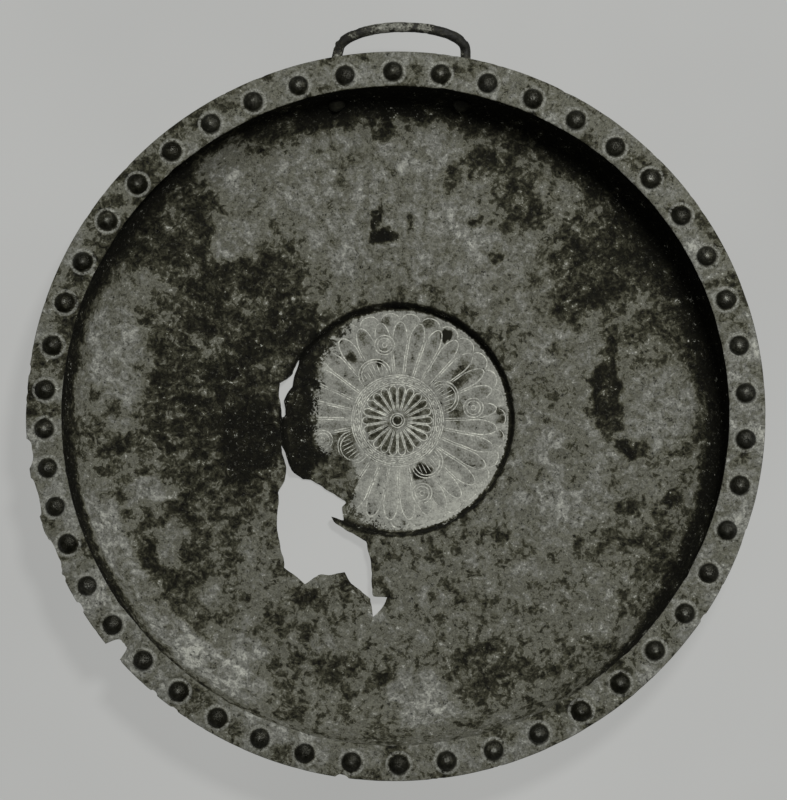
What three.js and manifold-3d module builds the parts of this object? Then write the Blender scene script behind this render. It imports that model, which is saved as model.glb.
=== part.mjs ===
// Shallow hammered bronze basin with a bossed rim, a disc foot and one riveted loop handle.
// Millimetres, +Z up. The basin lies on its foot with the hollow side up. The origin is the centre
// of the foot's underside, and the handle is at +Y.

import * as THREE from 'three';
import { mergeVertices } from 'three/addons/utils/BufferGeometryUtils.js';
import Module from 'manifold-3d';

const wasm = await Module();
wasm.setup();

// ---- Driving dimensions -------------------------------------------------------------------------

const SHEET = 1.2; // thickness of the floor and wall
const GAP = 0.3; // space kept between pieces that touch
const TURN_STEPS = 64; // facets round the axis
const OVAL = 0.005; // the basin is wider along X and narrower along Y by this share

const FOOT_RADIUS = 49.5; // flat of the disc foot, inside the basin
const FOOT_TOP_RADIUS = 52.6; // where the foot's wall meets the floor, inside the basin
const FOOT_EDGE = 1.2; // height of the rounding at the top of the foot's wall
const FOOT_DEPTH = 5.6; // floor above the foot's flat

const FLOOR_RADIUS = 122; // where the floor turns up into the wall
const FLOOR_RISE = 1.2; // from the foot to the wall
const WALL_RADIUS = 146.4; // widest inside radius, just under the rim
const WALL_HEIGHT = 26; // curved stretch, floor to the widest point
const WALL_STEPS = 7;

const RIM_TOP = 38;
const RIM_THICKNESS = 1.8;
const RIM_LIP = 1.2; // depth of the rim's straight inner edge, which overhangs the wall a little
const RIM_INNER_RADIUS = 145.4;
const RIM_OUTER_RADIUS = 161;

const BOSS_COUNT = 47;
const BOSS_CIRCLE = 152.8;
const BOSS_ROW_Y = -0.95; // the row is a little off the basin's centre
const BOSS_RADIUS = 4.35;
const BOSS_HEIGHT = 3.2;
const BOSS_SIDES = 10;
const HOLLOW_SIDES = 6;
// The maker spaced the bosses by eye and crowded those from the 20th to the 27th. Each pair is a boss's
// number and its direction in degrees anticlockwise from +X. The bosses between two pairs are even.
const BOSS_MARKS = [[0, 3.4], [19, 153.3], [22, 175.6], [26, 201.6], [35, 270.8], [42, 325.2]];

const ROD_RADIUS = 2.4;
const LOOP_CENTRE_X = 3;
const LOOP_HALF_WIDTH = 28.3; // centreline of the rod
const LOOP_START_Y = 162.5;
const LOOP_REACH = 9.95; // from the start to the loop's top
const LOOP_SQUARENESS = 2.05; // 2 is an ellipse, more is squarer
const LOOP_STEPS = 12;
const LOOP_LOW = 27;
const LOOP_HIGH = 31;

const RIVET_RADIUS_ON_WALL = 142.7; // distance of each rivet from the axis
const RIVET_X = { left: -26.5, right: 29.3 };
const RIVET_SHANK = 2;
const RIVET_HEAD = 4.1;
const RIVET_HEAD_HEIGHT = 2.6;
const RIVET_TAIL = 3.5;
const RIVET_TAIL_HEIGHT = 1.3;
const LUG_THICKNESS = 2;
const LUG_SPARE = 2.5; // extra thickness towards the wall, which is cut away to the wall's curve
const LUG_HALF_WIDTH = 5.2;
const LUG_TAPER = 0.7; // width of the lug's upper end as a share of its width at the rivet
const LUG_RUN = 8; // from the rivet up to the lug's upper end
const ROD_ROOT = [4.5, -2.6]; // start of the rod from the rivet: up the wall, and out of it
const ROD_BEND = [4.6, 4]; // from the rod's root to its bend: outwards, and up

// Plan outlines of the break beside the foot: the opened crack along the foot's edge, and the lost
// piece of the floor with the split at its lower right and the torn tongue of the foot's wall.
const BREAK_OUTLINES = [
  [
    [-43.9, 27.6], [-47.2, 21.5], [-49, 18.6], [-52.5, 16.6], [-52.8, 10.7], [-52.1, 5.4], [-51.7, 1.2],
    [-50.1, 2.3], [-50.5, 9], [-49, 12.1], [-47.2, 15.2], [-46.8, 18.3], [-45, 23.2],
  ],
  [
    [-51.9, -10.8], [-50.6, -16.9], [-49.6, -21.4], [-50.2, -27.6], [-52.9, -32.1], [-53.2, -42.3],
    [-53, -53], [-50.7, -61.3], [-50, -65.8], [-41, -73.5], [-34.2, -68.9], [-29.7, -69.6],
    [-23.3, -68.1], [-20.5, -73.1], [-11.6, -79.6], [-10.8, -88.4], [-5.7, -83.1], [-4.2, -79.3],
    [-10.7, -78.9], [-11.3, -70.3], [-12.4, -59.9], [-13.6, -54.6], [-19.9, -50.8], [-27.8, -45.9],
    [-29.3, -43.3], [-24, -45], [-24.8, -38.8], [-23, -36.5], [-28.5, -32.5], [-38.7, -26.5],
    [-42.6, -26.3], [-46.8, -22.9], [-50, -15.5],
  ],
];
const BREAK_SPAN = [-5, 20]; // heights between which the outlines are cut away

// Lost pieces of the rim's edge: [degrees at the middle, width, depth], each a blunt bite.
const RIM_BITES = [[219.5, 11, 6.4], [186, 13, 2.2], [193.5, 17, 1.7], [203, 16, 1.8], [262, 5, 1.3]];
// Corners of a bite: [share of its depth that is left, share of its half width].
const BITE_CORNERS = [[0.7, 0.85], [0, 0.35], [0.15, -0.3], [0.55, -0.8]];
const BITE_CLEARANCE = 4; // how far the cut starts outside the rim

const bronze = { color: 0x4f4c43, roughness: 0.72, metalness: 0.55 };
const darkBronze = { color: 0x3a3833, roughness: 0.66, metalness: 0.6 };

// ---- Small tools --------------------------------------------------------------------------------

const degrees = (value) => THREE.MathUtils.degToRad(value);

/** A closed geometry as a solid that can be joined and cut. */
function toSolid(geometry) {
  const bare = geometry.clone();
  bare.deleteAttribute('normal');
  bare.deleteAttribute('uv');
  const merged = mergeVertices(bare, 1e-4);
  const mesh = new wasm.Mesh({
    numProp: 3,
    vertProperties: new Float32Array(merged.attributes.position.array),
    triVerts: new Uint32Array(merged.index.array),
  });
  mesh.merge();
  return new wasm.Manifold(mesh);
}

/** A solid as a geometry. */
function toGeometry(solid) {
  const mesh = solid.getMesh();
  const geometry = new THREE.BufferGeometry();
  geometry.setAttribute('position', new THREE.BufferAttribute(new Float32Array(mesh.vertProperties), 3));
  geometry.setIndex(new THREE.BufferAttribute(new Uint32Array(mesh.triVerts), 1));
  geometry.computeVertexNormals();
  return geometry;
}

/** A closed [radius, height] profile turned about +Z, made slightly oval. */
function turned(profile) {
  const points = profile.map(([radius, height]) => new THREE.Vector2(radius, height));
  const geometry = new THREE.LatheGeometry(points, TURN_STEPS);
  geometry.rotateX(Math.PI / 2);
  geometry.scale(1 + OVAL, 1 - OVAL, 1);
  return toSolid(geometry);
}

/** A plan outline carried straight up from low to high. */
function prism(outline, low, high) {
  const shape = new THREE.Shape(outline.map(([x, y]) => new THREE.Vector2(x, y)));
  const geometry = new THREE.ExtrudeGeometry(shape, { depth: high - low, bevelEnabled: false });
  geometry.translate(0, 0, low);
  return toSolid(geometry);
}

/** A named mesh with its own material. */
function piece(name, solid, finish) {
  const mesh = new THREE.Mesh(toGeometry(solid), new THREE.MeshStandardMaterial(finish));
  mesh.name = name;
  return mesh;
}

// ---- Dish ---------------------------------------------------------------------------------------

const FLOOR_AT_FOOT = SHEET + FOOT_DEPTH;
const WALL_CENTRE_HEIGHT = FLOOR_AT_FOOT + FLOOR_RISE + WALL_HEIGHT;

/** Point of the wall's quarter ellipse, share 0 at the floor and 1 at the widest point. */
function wallPoint(share, offset) {
  const angle = (share * Math.PI) / 2;
  const radius = FLOOR_RADIUS + (WALL_RADIUS - FLOOR_RADIUS + offset) * Math.sin(angle);
  const height = WALL_CENTRE_HEIGHT - (WALL_HEIGHT + offset) * Math.cos(angle);
  return [radius, height];
}

/** The wall's curve from floor to rim, at a distance outside its inner face. */
function wallCurve(offset) {
  return Array.from({ length: WALL_STEPS + 1 }, (_, step) => wallPoint(step / WALL_STEPS, offset));
}

/** Section of the sheet: its underside outwards, the rim's edge, and its upper side back. */
function sheetProfile() {
  const underside = [
    [0, 0],
    [FOOT_RADIUS + SHEET * 0.75, 0],
    [FOOT_TOP_RADIUS - SHEET / 3, FOOT_DEPTH * 0.75],
    [FOOT_TOP_RADIUS + SHEET, FOOT_DEPTH],
    ...wallCurve(SHEET),
    [WALL_RADIUS + SHEET, RIM_TOP - RIM_THICKNESS],
  ];
  const edge = [
    [RIM_OUTER_RADIUS, RIM_TOP - RIM_THICKNESS],
    [RIM_OUTER_RADIUS, RIM_TOP],
    [RIM_INNER_RADIUS, RIM_TOP],
    [RIM_INNER_RADIUS, RIM_TOP - RIM_LIP],
    [WALL_RADIUS, RIM_TOP - RIM_THICKNESS],
  ];
  const upperSide = [
    ...wallCurve(0).reverse(),
    [FOOT_TOP_RADIUS, FLOOR_AT_FOOT],
    [FOOT_TOP_RADIUS - FOOT_EDGE, FLOOR_AT_FOOT - FOOT_EDGE],
    [FOOT_RADIUS, SHEET],
    [0, SHEET],
  ];
  return [...underside, ...edge, ...upperSide];
}

/** Direction of a boss in radians: its even share of the gap between the marked bosses around it. */
function bossAngle(index) {
  const [first, direction] = BOSS_MARKS[0];
  const marks = [...BOSS_MARKS, [first + BOSS_COUNT, direction + 360]];
  const next = marks.findIndex(([number]) => number > index);
  const [from, start] = marks[next - 1];
  const [to, end] = marks[next];
  return degrees(start + ((end - start) * (index - from)) / (to - from));
}

/** A dome that stands on height 0: a turned arc, closed by a straight skirt that reaches base below. */
function dome(radius, height, sides, rings, base) {
  const arc = Array.from({ length: rings + 1 }, (_, ring) => {
    const angle = (ring / rings) * (Math.PI / 2);
    return new THREE.Vector2(radius * Math.cos(angle), height * Math.sin(angle));
  });
  arc[rings].x = 0;
  const profile = [new THREE.Vector2(0, -base), new THREE.Vector2(radius, -base), ...arc];
  const geometry = new THREE.LatheGeometry(profile, sides);
  geometry.rotateX(Math.PI / 2);
  return geometry;
}

/** The bosses, or the hollows under them, as a list of solids. */
function bossRow(radius, height, sides, rings, base, level) {
  return Array.from({ length: BOSS_COUNT }, (_, index) => {
    const angle = bossAngle(index);
    const geometry = dome(radius, height, sides, rings, base);
    geometry.rotateZ(angle);
    const x = BOSS_CIRCLE * Math.cos(angle) * (1 + OVAL);
    const y = BOSS_CIRCLE * Math.sin(angle) * (1 - OVAL) + BOSS_ROW_Y;
    geometry.translate(x, y, level);
    return toSolid(geometry);
  });
}

/** A blunt wedge that reaches in from outside the rim's edge. */
function rimBite([middle, width, depth]) {
  const half = width / 2 / RIM_OUTER_RADIUS;
  const corner = (radius, share) => {
    const angle = degrees(middle) + half * share;
    return [radius * Math.cos(angle), radius * Math.sin(angle)];
  };
  const outside = RIM_OUTER_RADIUS + BITE_CLEARANCE;
  const bitten = BITE_CORNERS.map(([left, share]) => corner(RIM_OUTER_RADIUS - depth * (1 - left), share));
  const outline = [corner(outside, -1), corner(outside, 1), ...bitten];
  return prism(outline, RIM_TOP - 2 * RIM_THICKNESS, RIM_TOP + 2 * BOSS_HEIGHT);
}

// ---- Rivets and handle --------------------------------------------------------------------------

/** Place of one rivet: the middle of the sheet under its head, the way into the basin, and up the wall. */
function rivetPlace(side) {
  const x = RIVET_X[side];
  const aside = x / RIVET_RADIUS_ON_WALL;
  const share = Math.asin((RIVET_RADIUS_ON_WALL - FLOOR_RADIUS) / (WALL_RADIUS - FLOOR_RADIUS));
  const [radius, height] = wallPoint((share * 2) / Math.PI, SHEET / 2);
  const outwards = new THREE.Vector3(aside, Math.sqrt(1 - aside * aside), 0);
  const up = new THREE.Vector3(0, 0, 1);
  const normal = outwards.clone().multiplyScalar(-Math.sin(share) / (WALL_RADIUS - FLOOR_RADIUS));
  normal.addScaledVector(up, Math.cos(share) / WALL_HEIGHT).normalize();
  const sideways = new THREE.Vector3().crossVectors(up, outwards);
  const slope = new THREE.Vector3().crossVectors(sideways, normal);
  const centre = outwards.clone().multiplyScalar(radius).setZ(height);
  return { centre, normal, slope };
}

/** A geometry whose +Z is turned along the rivet, +Y up the slope, shifted along the rivet. */
function onRivet(geometry, place, shift) {
  const across = new THREE.Vector3().crossVectors(place.slope, place.normal);
  const matrix = new THREE.Matrix4().makeBasis(across, place.slope, place.normal);
  matrix.setPosition(place.centre.clone().addScaledVector(place.normal, shift));
  return toSolid(geometry.applyMatrix4(matrix));
}

/** A cylinder along the rivet between two distances from the middle of the sheet. */
function rivetCylinder(place, radius, low, high) {
  const geometry = new THREE.CylinderGeometry(radius, radius, high - low, 12);
  geometry.rotateX(Math.PI / 2);
  return onRivet(geometry, place, (low + high) / 2);
}

const LUG_FACE = -(SHEET / 2 + GAP + LUG_THICKNESS); // outer face of the lug, along the rivet

/** One rivet: domed head inside, shank, and a peened tail on the lug. */
function rivet(side, insideOfBasin) {
  const place = rivetPlace(side);
  const head = onRivet(dome(RIVET_HEAD, RIVET_HEAD_HEIGHT, 14, 4, 2), place, SHEET / 2 + GAP);
  const tailFace = LUG_FACE - GAP;
  const shank = rivetCylinder(place, RIVET_SHANK, tailFace - RIVET_TAIL_HEIGHT / 2, 2 * SHEET);
  const tail = rivetCylinder(place, RIVET_TAIL, tailFace - RIVET_TAIL_HEIGHT, tailFace);
  return head.intersect(insideOfBasin).add(shank).add(tail);
}

/** The flattened end of the rod: a plate with a round lower end, thick enough to be cut to the wall. */
function lug(place) {
  const shape = new THREE.Shape();
  shape.moveTo(LUG_HALF_WIDTH, 0);
  shape.lineTo(LUG_HALF_WIDTH * LUG_TAPER, LUG_RUN);
  shape.lineTo(-LUG_HALF_WIDTH * LUG_TAPER, LUG_RUN);
  shape.lineTo(-LUG_HALF_WIDTH, 0);
  shape.absarc(0, 0, LUG_HALF_WIDTH, Math.PI, Math.PI * 2, false);
  const depth = LUG_THICKNESS + LUG_SPARE;
  const geometry = new THREE.ExtrudeGeometry(shape, { depth, bevelEnabled: false, curveSegments: 7 });
  return onRivet(geometry, place, LUG_FACE);
}

/** The rod's centreline: up off each lug, out under the rim, and round the loop. */
function rodPath() {
  const start = (side) => {
    const place = rivetPlace(side);
    const root = place.centre.clone().addScaledVector(place.slope, ROD_ROOT[0]);
    root.addScaledVector(place.normal, ROD_ROOT[1]);
    return [root, root.clone().add(new THREE.Vector3(0, ...ROD_BEND))];
  };
  const loop = Array.from({ length: LOOP_STEPS + 1 }, (_, step) => {
    const angle = Math.PI * (1 - step / LOOP_STEPS);
    const power = 2 / LOOP_SQUARENESS;
    const across = Math.sign(Math.cos(angle)) * Math.abs(Math.cos(angle)) ** power;
    const reach = Math.max(Math.sin(angle), 0) ** power;
    return new THREE.Vector3(
      LOOP_CENTRE_X + LOOP_HALF_WIDTH * across,
      LOOP_START_Y + LOOP_REACH * reach,
      LOOP_LOW + (LOOP_HIGH - LOOP_LOW) * reach,
    );
  });
  return new THREE.CatmullRomCurve3([...start('left'), ...loop, ...start('right').reverse()]);
}

/** The handle: rod and lugs in one, fitted to the outside of the wall. */
function handle(outsideOfBasin) {
  const section = new THREE.Shape().absarc(0, 0, ROD_RADIUS, 0, Math.PI * 2, false);
  const rod = toSolid(
    new THREE.ExtrudeGeometry(section, { steps: 28, curveSegments: 4, extrudePath: rodPath() }),
  );
  const places = ['left', 'right'].map(rivetPlace);
  const lugs = places.map(lug);
  const reach = LUG_THICKNESS + LUG_SPARE + RIVET_TAIL_HEIGHT;
  const holes = places.map((place) => rivetCylinder(place, RIVET_SHANK + GAP, -2 * reach, reach));
  const joined = lugs.reduce((sum, one) => sum.add(one), rod).subtract(outsideOfBasin);
  return holes.reduce((sum, hole) => sum.subtract(hole), joined);
}

/** The dish: sheet, bosses and their hollows, rivet holes, the break and the rim's lost edge. */
function dish() {
  const places = ['left', 'right'].map(rivetPlace);
  const bosses = bossRow(BOSS_RADIUS, BOSS_HEIGHT, BOSS_SIDES, 3, RIM_THICKNESS / 3, RIM_TOP);
  const underRim = RIM_TOP - RIM_THICKNESS;
  const hollowHeight = BOSS_HEIGHT - SHEET + RIM_THICKNESS;
  const hollows = bossRow(BOSS_RADIUS - SHEET, hollowHeight, HOLLOW_SIDES, 2, SHEET, underRim);
  const holes = places.map((place) => rivetCylinder(place, RIVET_SHANK + GAP, -2 * SHEET, 2 * SHEET));
  const openings = BREAK_OUTLINES.map((outline) => prism(outline, ...BREAK_SPAN));
  const cuts = [...hollows, ...holes, ...openings, ...RIM_BITES.map(rimBite)];
  const whole = bosses.reduce((sum, boss) => sum.add(boss), turned(sheetProfile()));
  return cuts.reduce((sum, cut) => sum.subtract(cut), whole);
}

/** A filled basin whose side is the wall's inner face moved outwards: cuts a piece to fit the wall. */
function filledBasin(offset) {
  const top = RIM_TOP - RIM_LIP;
  return turned([
    [0, FLOOR_AT_FOOT],
    ...wallCurve(offset),
    [WALL_RADIUS + offset, top],
    [0, top],
  ]);
}

// ---- The part -----------------------------------------------------------------------------------

const insideOfBasin = filledBasin(-GAP);
const outsideOfBasin = filledBasin(SHEET + GAP);

const basin = new THREE.Group();
basin.add(piece('dish', dish(), bronze));
basin.add(piece('handle', handle(outsideOfBasin), darkBronze));
basin.add(piece('rivet_left', rivet('left', insideOfBasin), darkBronze));
basin.add(piece('rivet_right', rivet('right', insideOfBasin), darkBronze));

export default basin;
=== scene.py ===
"""Hammered bronze basin with a bossed rim, an engraved disc foot and one riveted loop handle.

The basin lies on its foot, hollow side up, with the handle at +Y. Lengths in this file are
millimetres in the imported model's frame, and every mesh is turned to metres as it is made.
"""

import logging
import math
from dataclasses import dataclass, field
from enum import Enum
from typing import Any, Iterable, Sequence

import bmesh
import bpy
import numpy as np
from mathutils import Matrix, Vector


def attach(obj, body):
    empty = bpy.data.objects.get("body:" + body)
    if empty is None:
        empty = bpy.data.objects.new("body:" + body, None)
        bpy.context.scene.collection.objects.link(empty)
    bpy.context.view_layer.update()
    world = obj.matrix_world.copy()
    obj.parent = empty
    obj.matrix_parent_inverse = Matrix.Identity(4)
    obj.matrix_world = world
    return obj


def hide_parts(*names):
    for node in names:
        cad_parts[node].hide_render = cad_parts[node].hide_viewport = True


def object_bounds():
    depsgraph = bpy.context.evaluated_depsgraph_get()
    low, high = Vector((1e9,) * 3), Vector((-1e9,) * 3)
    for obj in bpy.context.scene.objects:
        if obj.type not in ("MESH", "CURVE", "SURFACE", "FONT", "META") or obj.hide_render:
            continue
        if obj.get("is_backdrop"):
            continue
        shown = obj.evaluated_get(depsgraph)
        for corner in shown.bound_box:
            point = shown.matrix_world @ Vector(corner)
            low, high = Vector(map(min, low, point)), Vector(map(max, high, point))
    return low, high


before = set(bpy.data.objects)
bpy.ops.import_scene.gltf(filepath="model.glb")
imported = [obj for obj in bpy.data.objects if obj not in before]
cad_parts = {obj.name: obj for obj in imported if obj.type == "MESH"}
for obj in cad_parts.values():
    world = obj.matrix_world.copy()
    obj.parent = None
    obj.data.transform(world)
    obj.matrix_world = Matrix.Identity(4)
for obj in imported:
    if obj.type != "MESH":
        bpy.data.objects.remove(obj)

LOG = logging.getLogger("basin")
MM = 0.001
TURN = 2 * math.pi


class Slot(Enum):
    """The record's material slots."""

    SHEET = "patinated_sheet"
    HANDLE = "handle_bronze"
    RIVET = "rivet_bronze"


# ---- Random but repeatable shapes -----------------------------------------------------------------


@dataclass(frozen=True)
class Grain:
    """Smooth random values through space, from a seeded lattice."""

    seed: int
    cells: int = 32

    def at(self, points: np.ndarray, size: float) -> np.ndarray:
        """Value noise, from -1 to 1, whose cells are size millimetres wide.

        The eight lattice values round each point are blended by the fade 6t^5 - 15t^4 + 10t^3.

        Args:
            points: positions, one row of three each.
            size: width of a cell.

        Returns:
            One value for each point.
        """
        lattice = np.random.default_rng(self.seed).random((self.cells,) * 3) * 2 - 1
        place = points / size
        corner = np.floor(place).astype(int)
        share = place - corner
        fade = share**3 * (share * (share * 6 - 15) + 10)
        total = np.zeros(len(points))
        for step in np.ndindex(2, 2, 2):
            weight = np.prod(np.where(np.array(step) == 1, fade, 1 - fade), axis=1)
            cell = (corner + step) % self.cells
            total += weight * lattice[cell[:, 0], cell[:, 1], cell[:, 2]]
        return total

    def layered(self, points: np.ndarray, size: float, layers: int) -> np.ndarray:
        """Sum of finer and fainter noise: each layer is half as wide and half as strong."""
        return sum(self.at(points + 17.3 * k, size / 2**k) / 2**k for k in range(layers))


def smooth(value: np.ndarray, low: float, high: float) -> np.ndarray:
    """The smooth step 3t^2 - 2t^3, from 0 at low to 1 at high."""
    share = np.clip((value - low) / (high - low), 0, 1)
    return share * share * (3 - 2 * share)


# ---- Mesh building --------------------------------------------------------------------------------


def ring_faces(counts: Sequence[int]) -> np.ndarray:
    """Triangles between successive rings of points.

    Two rings of equal count give two triangles a step, a ring next to one twice as fine gives
    three triangles for each coarse step, and a single point gives a fan.

    Args:
        counts: number of points in each ring, in order.

    Returns:
        Triangles as rows of three point numbers.
    """
    starts = np.concatenate([[0], np.cumsum(counts)[:-1]])
    faces = []
    for a, b, n, m in zip(starts[:-1], starts[1:], counts[:-1], counts[1:]):
        i = np.arange(min(n, m) if min(n, m) > 1 else max(n, m))
        near, near_next = a + i % n, a + (i + 1) % n
        far, far_next = b + i % m, b + (i + 1) % m
        if n == 1:
            faces.append(np.stack([near, far, far_next], 1))
        elif m == 1:
            faces.append(np.stack([near, far, near_next], 1))
        elif n == m:
            faces.append(np.stack([near, far, far_next], 1))
            faces.append(np.stack([near, far_next, near_next], 1))
        elif m == 2 * n:
            even, odd, after = b + 2 * i, b + 2 * i + 1, b + (2 * i + 2) % m
            faces.append(np.stack([near, even, odd], 1))
            faces.append(np.stack([near, odd, near_next], 1))
            faces.append(np.stack([near_next, odd, after], 1))
        else:
            even, odd, after = a + 2 * i, a + 2 * i + 1, a + (2 * i + 2) % n
            faces.append(np.stack([even, far, odd], 1))
            faces.append(np.stack([odd, far, far_next], 1))
            faces.append(np.stack([odd, far_next, after], 1))
    return np.concatenate(faces)


@dataclass
class Skin:
    """Points and triangles of a closed surface, in millimetres."""

    points: np.ndarray
    faces: np.ndarray

    @staticmethod
    def of_rings(rings: Sequence[np.ndarray]) -> "Skin":
        """Joins rings of points, each to the next."""
        return Skin(np.concatenate(rings), ring_faces([len(ring) for ring in rings]))

    @staticmethod
    def of_torus(grid: np.ndarray) -> "Skin":
        """A grid of points that closes on itself both ways.

        Args:
            grid: points as (along, round, 3).
        """
        along, around = grid.shape[:2]
        i, j = np.meshgrid(np.arange(along), np.arange(around), indexing="ij")
        i_next, j_next = (i + 1) % along, (j + 1) % around
        a, b = i * around + j, i_next * around + j
        c, d = i_next * around + j_next, i * around + j_next
        faces = np.concatenate([np.stack(t, -1).reshape(-1, 3) for t in ((a, b, c), (a, c, d))])
        return Skin(grid.reshape(-1, 3), faces)

    @staticmethod
    def joined(skins: Iterable["Skin"]) -> "Skin":
        """Several skins as one, without welding."""
        skins = list(skins)
        offsets = np.cumsum([0] + [len(skin.points) for skin in skins[:-1]])
        points = np.concatenate([skin.points for skin in skins])
        faces = np.concatenate([skin.faces + offset for skin, offset in zip(skins, offsets)])
        return Skin(points, faces)

    def outwards(self) -> "Skin":
        """The same skin with its triangles turned so that the enclosed volume is positive."""
        a, b, c = (self.points[self.faces[:, k]] for k in range(3))
        volume = np.einsum("ij,ij->i", a, np.cross(b, c)).sum()
        return self if volume > 0 else Skin(self.points, self.faces[:, ::-1])

    def mesh(self, name: str, finish: bpy.types.Material | None = None) -> bpy.types.Object:
        """Puts the skin into the scene as an object at the origin, in metres."""
        data = bpy.data.meshes.new(name)
        data.from_pydata((self.points * MM).tolist(), [], self.faces.tolist())
        data.validate()
        obj = bpy.data.objects.new(name, data)
        bpy.context.scene.collection.objects.link(obj)
        if finish is not None:
            data.materials.append(finish)
        return obj


def circle(radius: np.ndarray | float, height: np.ndarray | float, count: int) -> np.ndarray:
    """A ring of count points about the Z axis; radius and height may change round it."""
    angle = np.arange(count) * TURN / count
    return np.stack(
        [radius * np.cos(angle), radius * np.sin(angle), np.broadcast_to(height, (count,))], 1
    )


def prism(outline: np.ndarray, low: float, high: float) -> Skin:
    """A plan outline carried straight up from low to high, closed by a flat face at each end.

    Args:
        outline: points as rows of x and y, anticlockwise.
        low: height of its lower face.
        high: height of its upper face.
    """
    count = len(outline)
    flat = bpy.data.meshes.new("outline")
    flat.from_pydata([(x, y, 0) for x, y in outline], [], [tuple(range(count))])
    flat.calc_loop_triangles()
    caps = np.array([t.vertices for t in flat.loop_triangles])
    bpy.data.meshes.remove(flat)
    points = np.concatenate([np.c_[outline, np.full(count, z)] for z in (low, high)])
    i = np.arange(count)
    j = (i + 1) % count
    sides = np.concatenate([np.stack([i, j, j + count], 1), np.stack([i, j + count, i + count], 1)])
    return Skin(points, np.concatenate([caps[:, ::-1], caps + count, sides])).outwards()


def ragged(outline: Sequence[tuple[float, float]], step: float, amount: float, seed: int) -> np.ndarray:
    """A torn version of a closed outline: resampled evenly, and moved sideways by noise.

    Args:
        outline: corner points, in order.
        step: spacing of the new points.
        amount: largest sideways move.
        seed: which noise.

    Returns:
        The torn outline as rows of x and y.
    """
    corners = np.array([*outline, outline[0]], float)
    run = np.concatenate([[0], np.cumsum(np.hypot(*np.diff(corners, axis=0).T))])
    at = np.arange(0, run[-1], step)
    line = np.stack([np.interp(at, run, corners[:, k]) for k in (0, 1)], 1)
    heading = np.roll(line, -1, 0) - np.roll(line, 1, 0)
    heading /= np.maximum(np.hypot(*heading.T), 1e-6)[:, None]
    sideways = np.stack([heading[:, 1], -heading[:, 0]], 1)
    move = Grain(seed).layered(np.c_[line, np.zeros(len(line))], 4.5, 3)
    return line + sideways * (amount * move)[:, None]


def slot_outline(path: Sequence[tuple[float, float]], width: float) -> np.ndarray:
    """Outline of a narrow crack along a path: full width at its first point, pointed at its last."""
    line = np.array(path, float)
    heading = np.gradient(line, axis=0)
    heading /= np.hypot(*heading.T)[:, None]
    half = width / 2 * np.linspace(1, 0.25, len(line))[:, None]
    sideways = np.stack([heading[:, 1], -heading[:, 0]], 1) * half
    return np.concatenate([line + sideways, (line - sideways)[::-1]])


# ---- Shaders --------------------------------------------------------------------------------------


class Wire:
    """A number inside a shader. Operators on it add the Math nodes that work them out."""

    def __init__(self, finish: "FinishTree", socket: bpy.types.NodeSocket) -> None:
        """Wraps a socket of a finish's tree."""
        self.finish = finish
        self.socket = socket

    def math(self, operation: str, *others: "Wire | float", swap: bool = False) -> "Wire":
        """One Math node on this number and others; swap puts this number second."""
        values = [self, *others]
        if swap:
            values.reverse()
        node = self.finish.node("ShaderNodeMath", {"operation": operation}, dict(enumerate(values)))
        return Wire(self.finish, node.outputs[0])

    def __add__(self, other: "Wire | float") -> "Wire":
        """self + other."""
        return self.math("ADD", other)

    __radd__ = __add__

    def __mul__(self, other: "Wire | float") -> "Wire":
        """self * other."""
        return self.math("MULTIPLY", other)

    __rmul__ = __mul__

    def __sub__(self, other: "Wire | float") -> "Wire":
        """self - other."""
        return self.math("SUBTRACT", other)

    def __rsub__(self, other: float) -> "Wire":
        """other - self."""
        return self.math("SUBTRACT", other, swap=True)

    def __abs__(self) -> "Wire":
        """Size without sign."""
        return self.math("ABSOLUTE")

    def least(self, other: "Wire | float") -> "Wire":
        """The smaller of two."""
        return self.math("MINIMUM", other)

    def most(self, other: "Wire | float") -> "Wire":
        """The larger of two."""
        return self.math("MAXIMUM", other)

    def step(self, low: float, high: float) -> "Wire":
        """Smooth step: 0 at low, 1 at high. With low above high it falls instead."""
        settings = {"interpolation_type": "SMOOTHSTEP"}
        inputs = {"Value": self, "From Min": low, "From Max": high}
        return Wire(self.finish, self.finish.node("ShaderNodeMapRange", settings, inputs).outputs[0])


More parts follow.
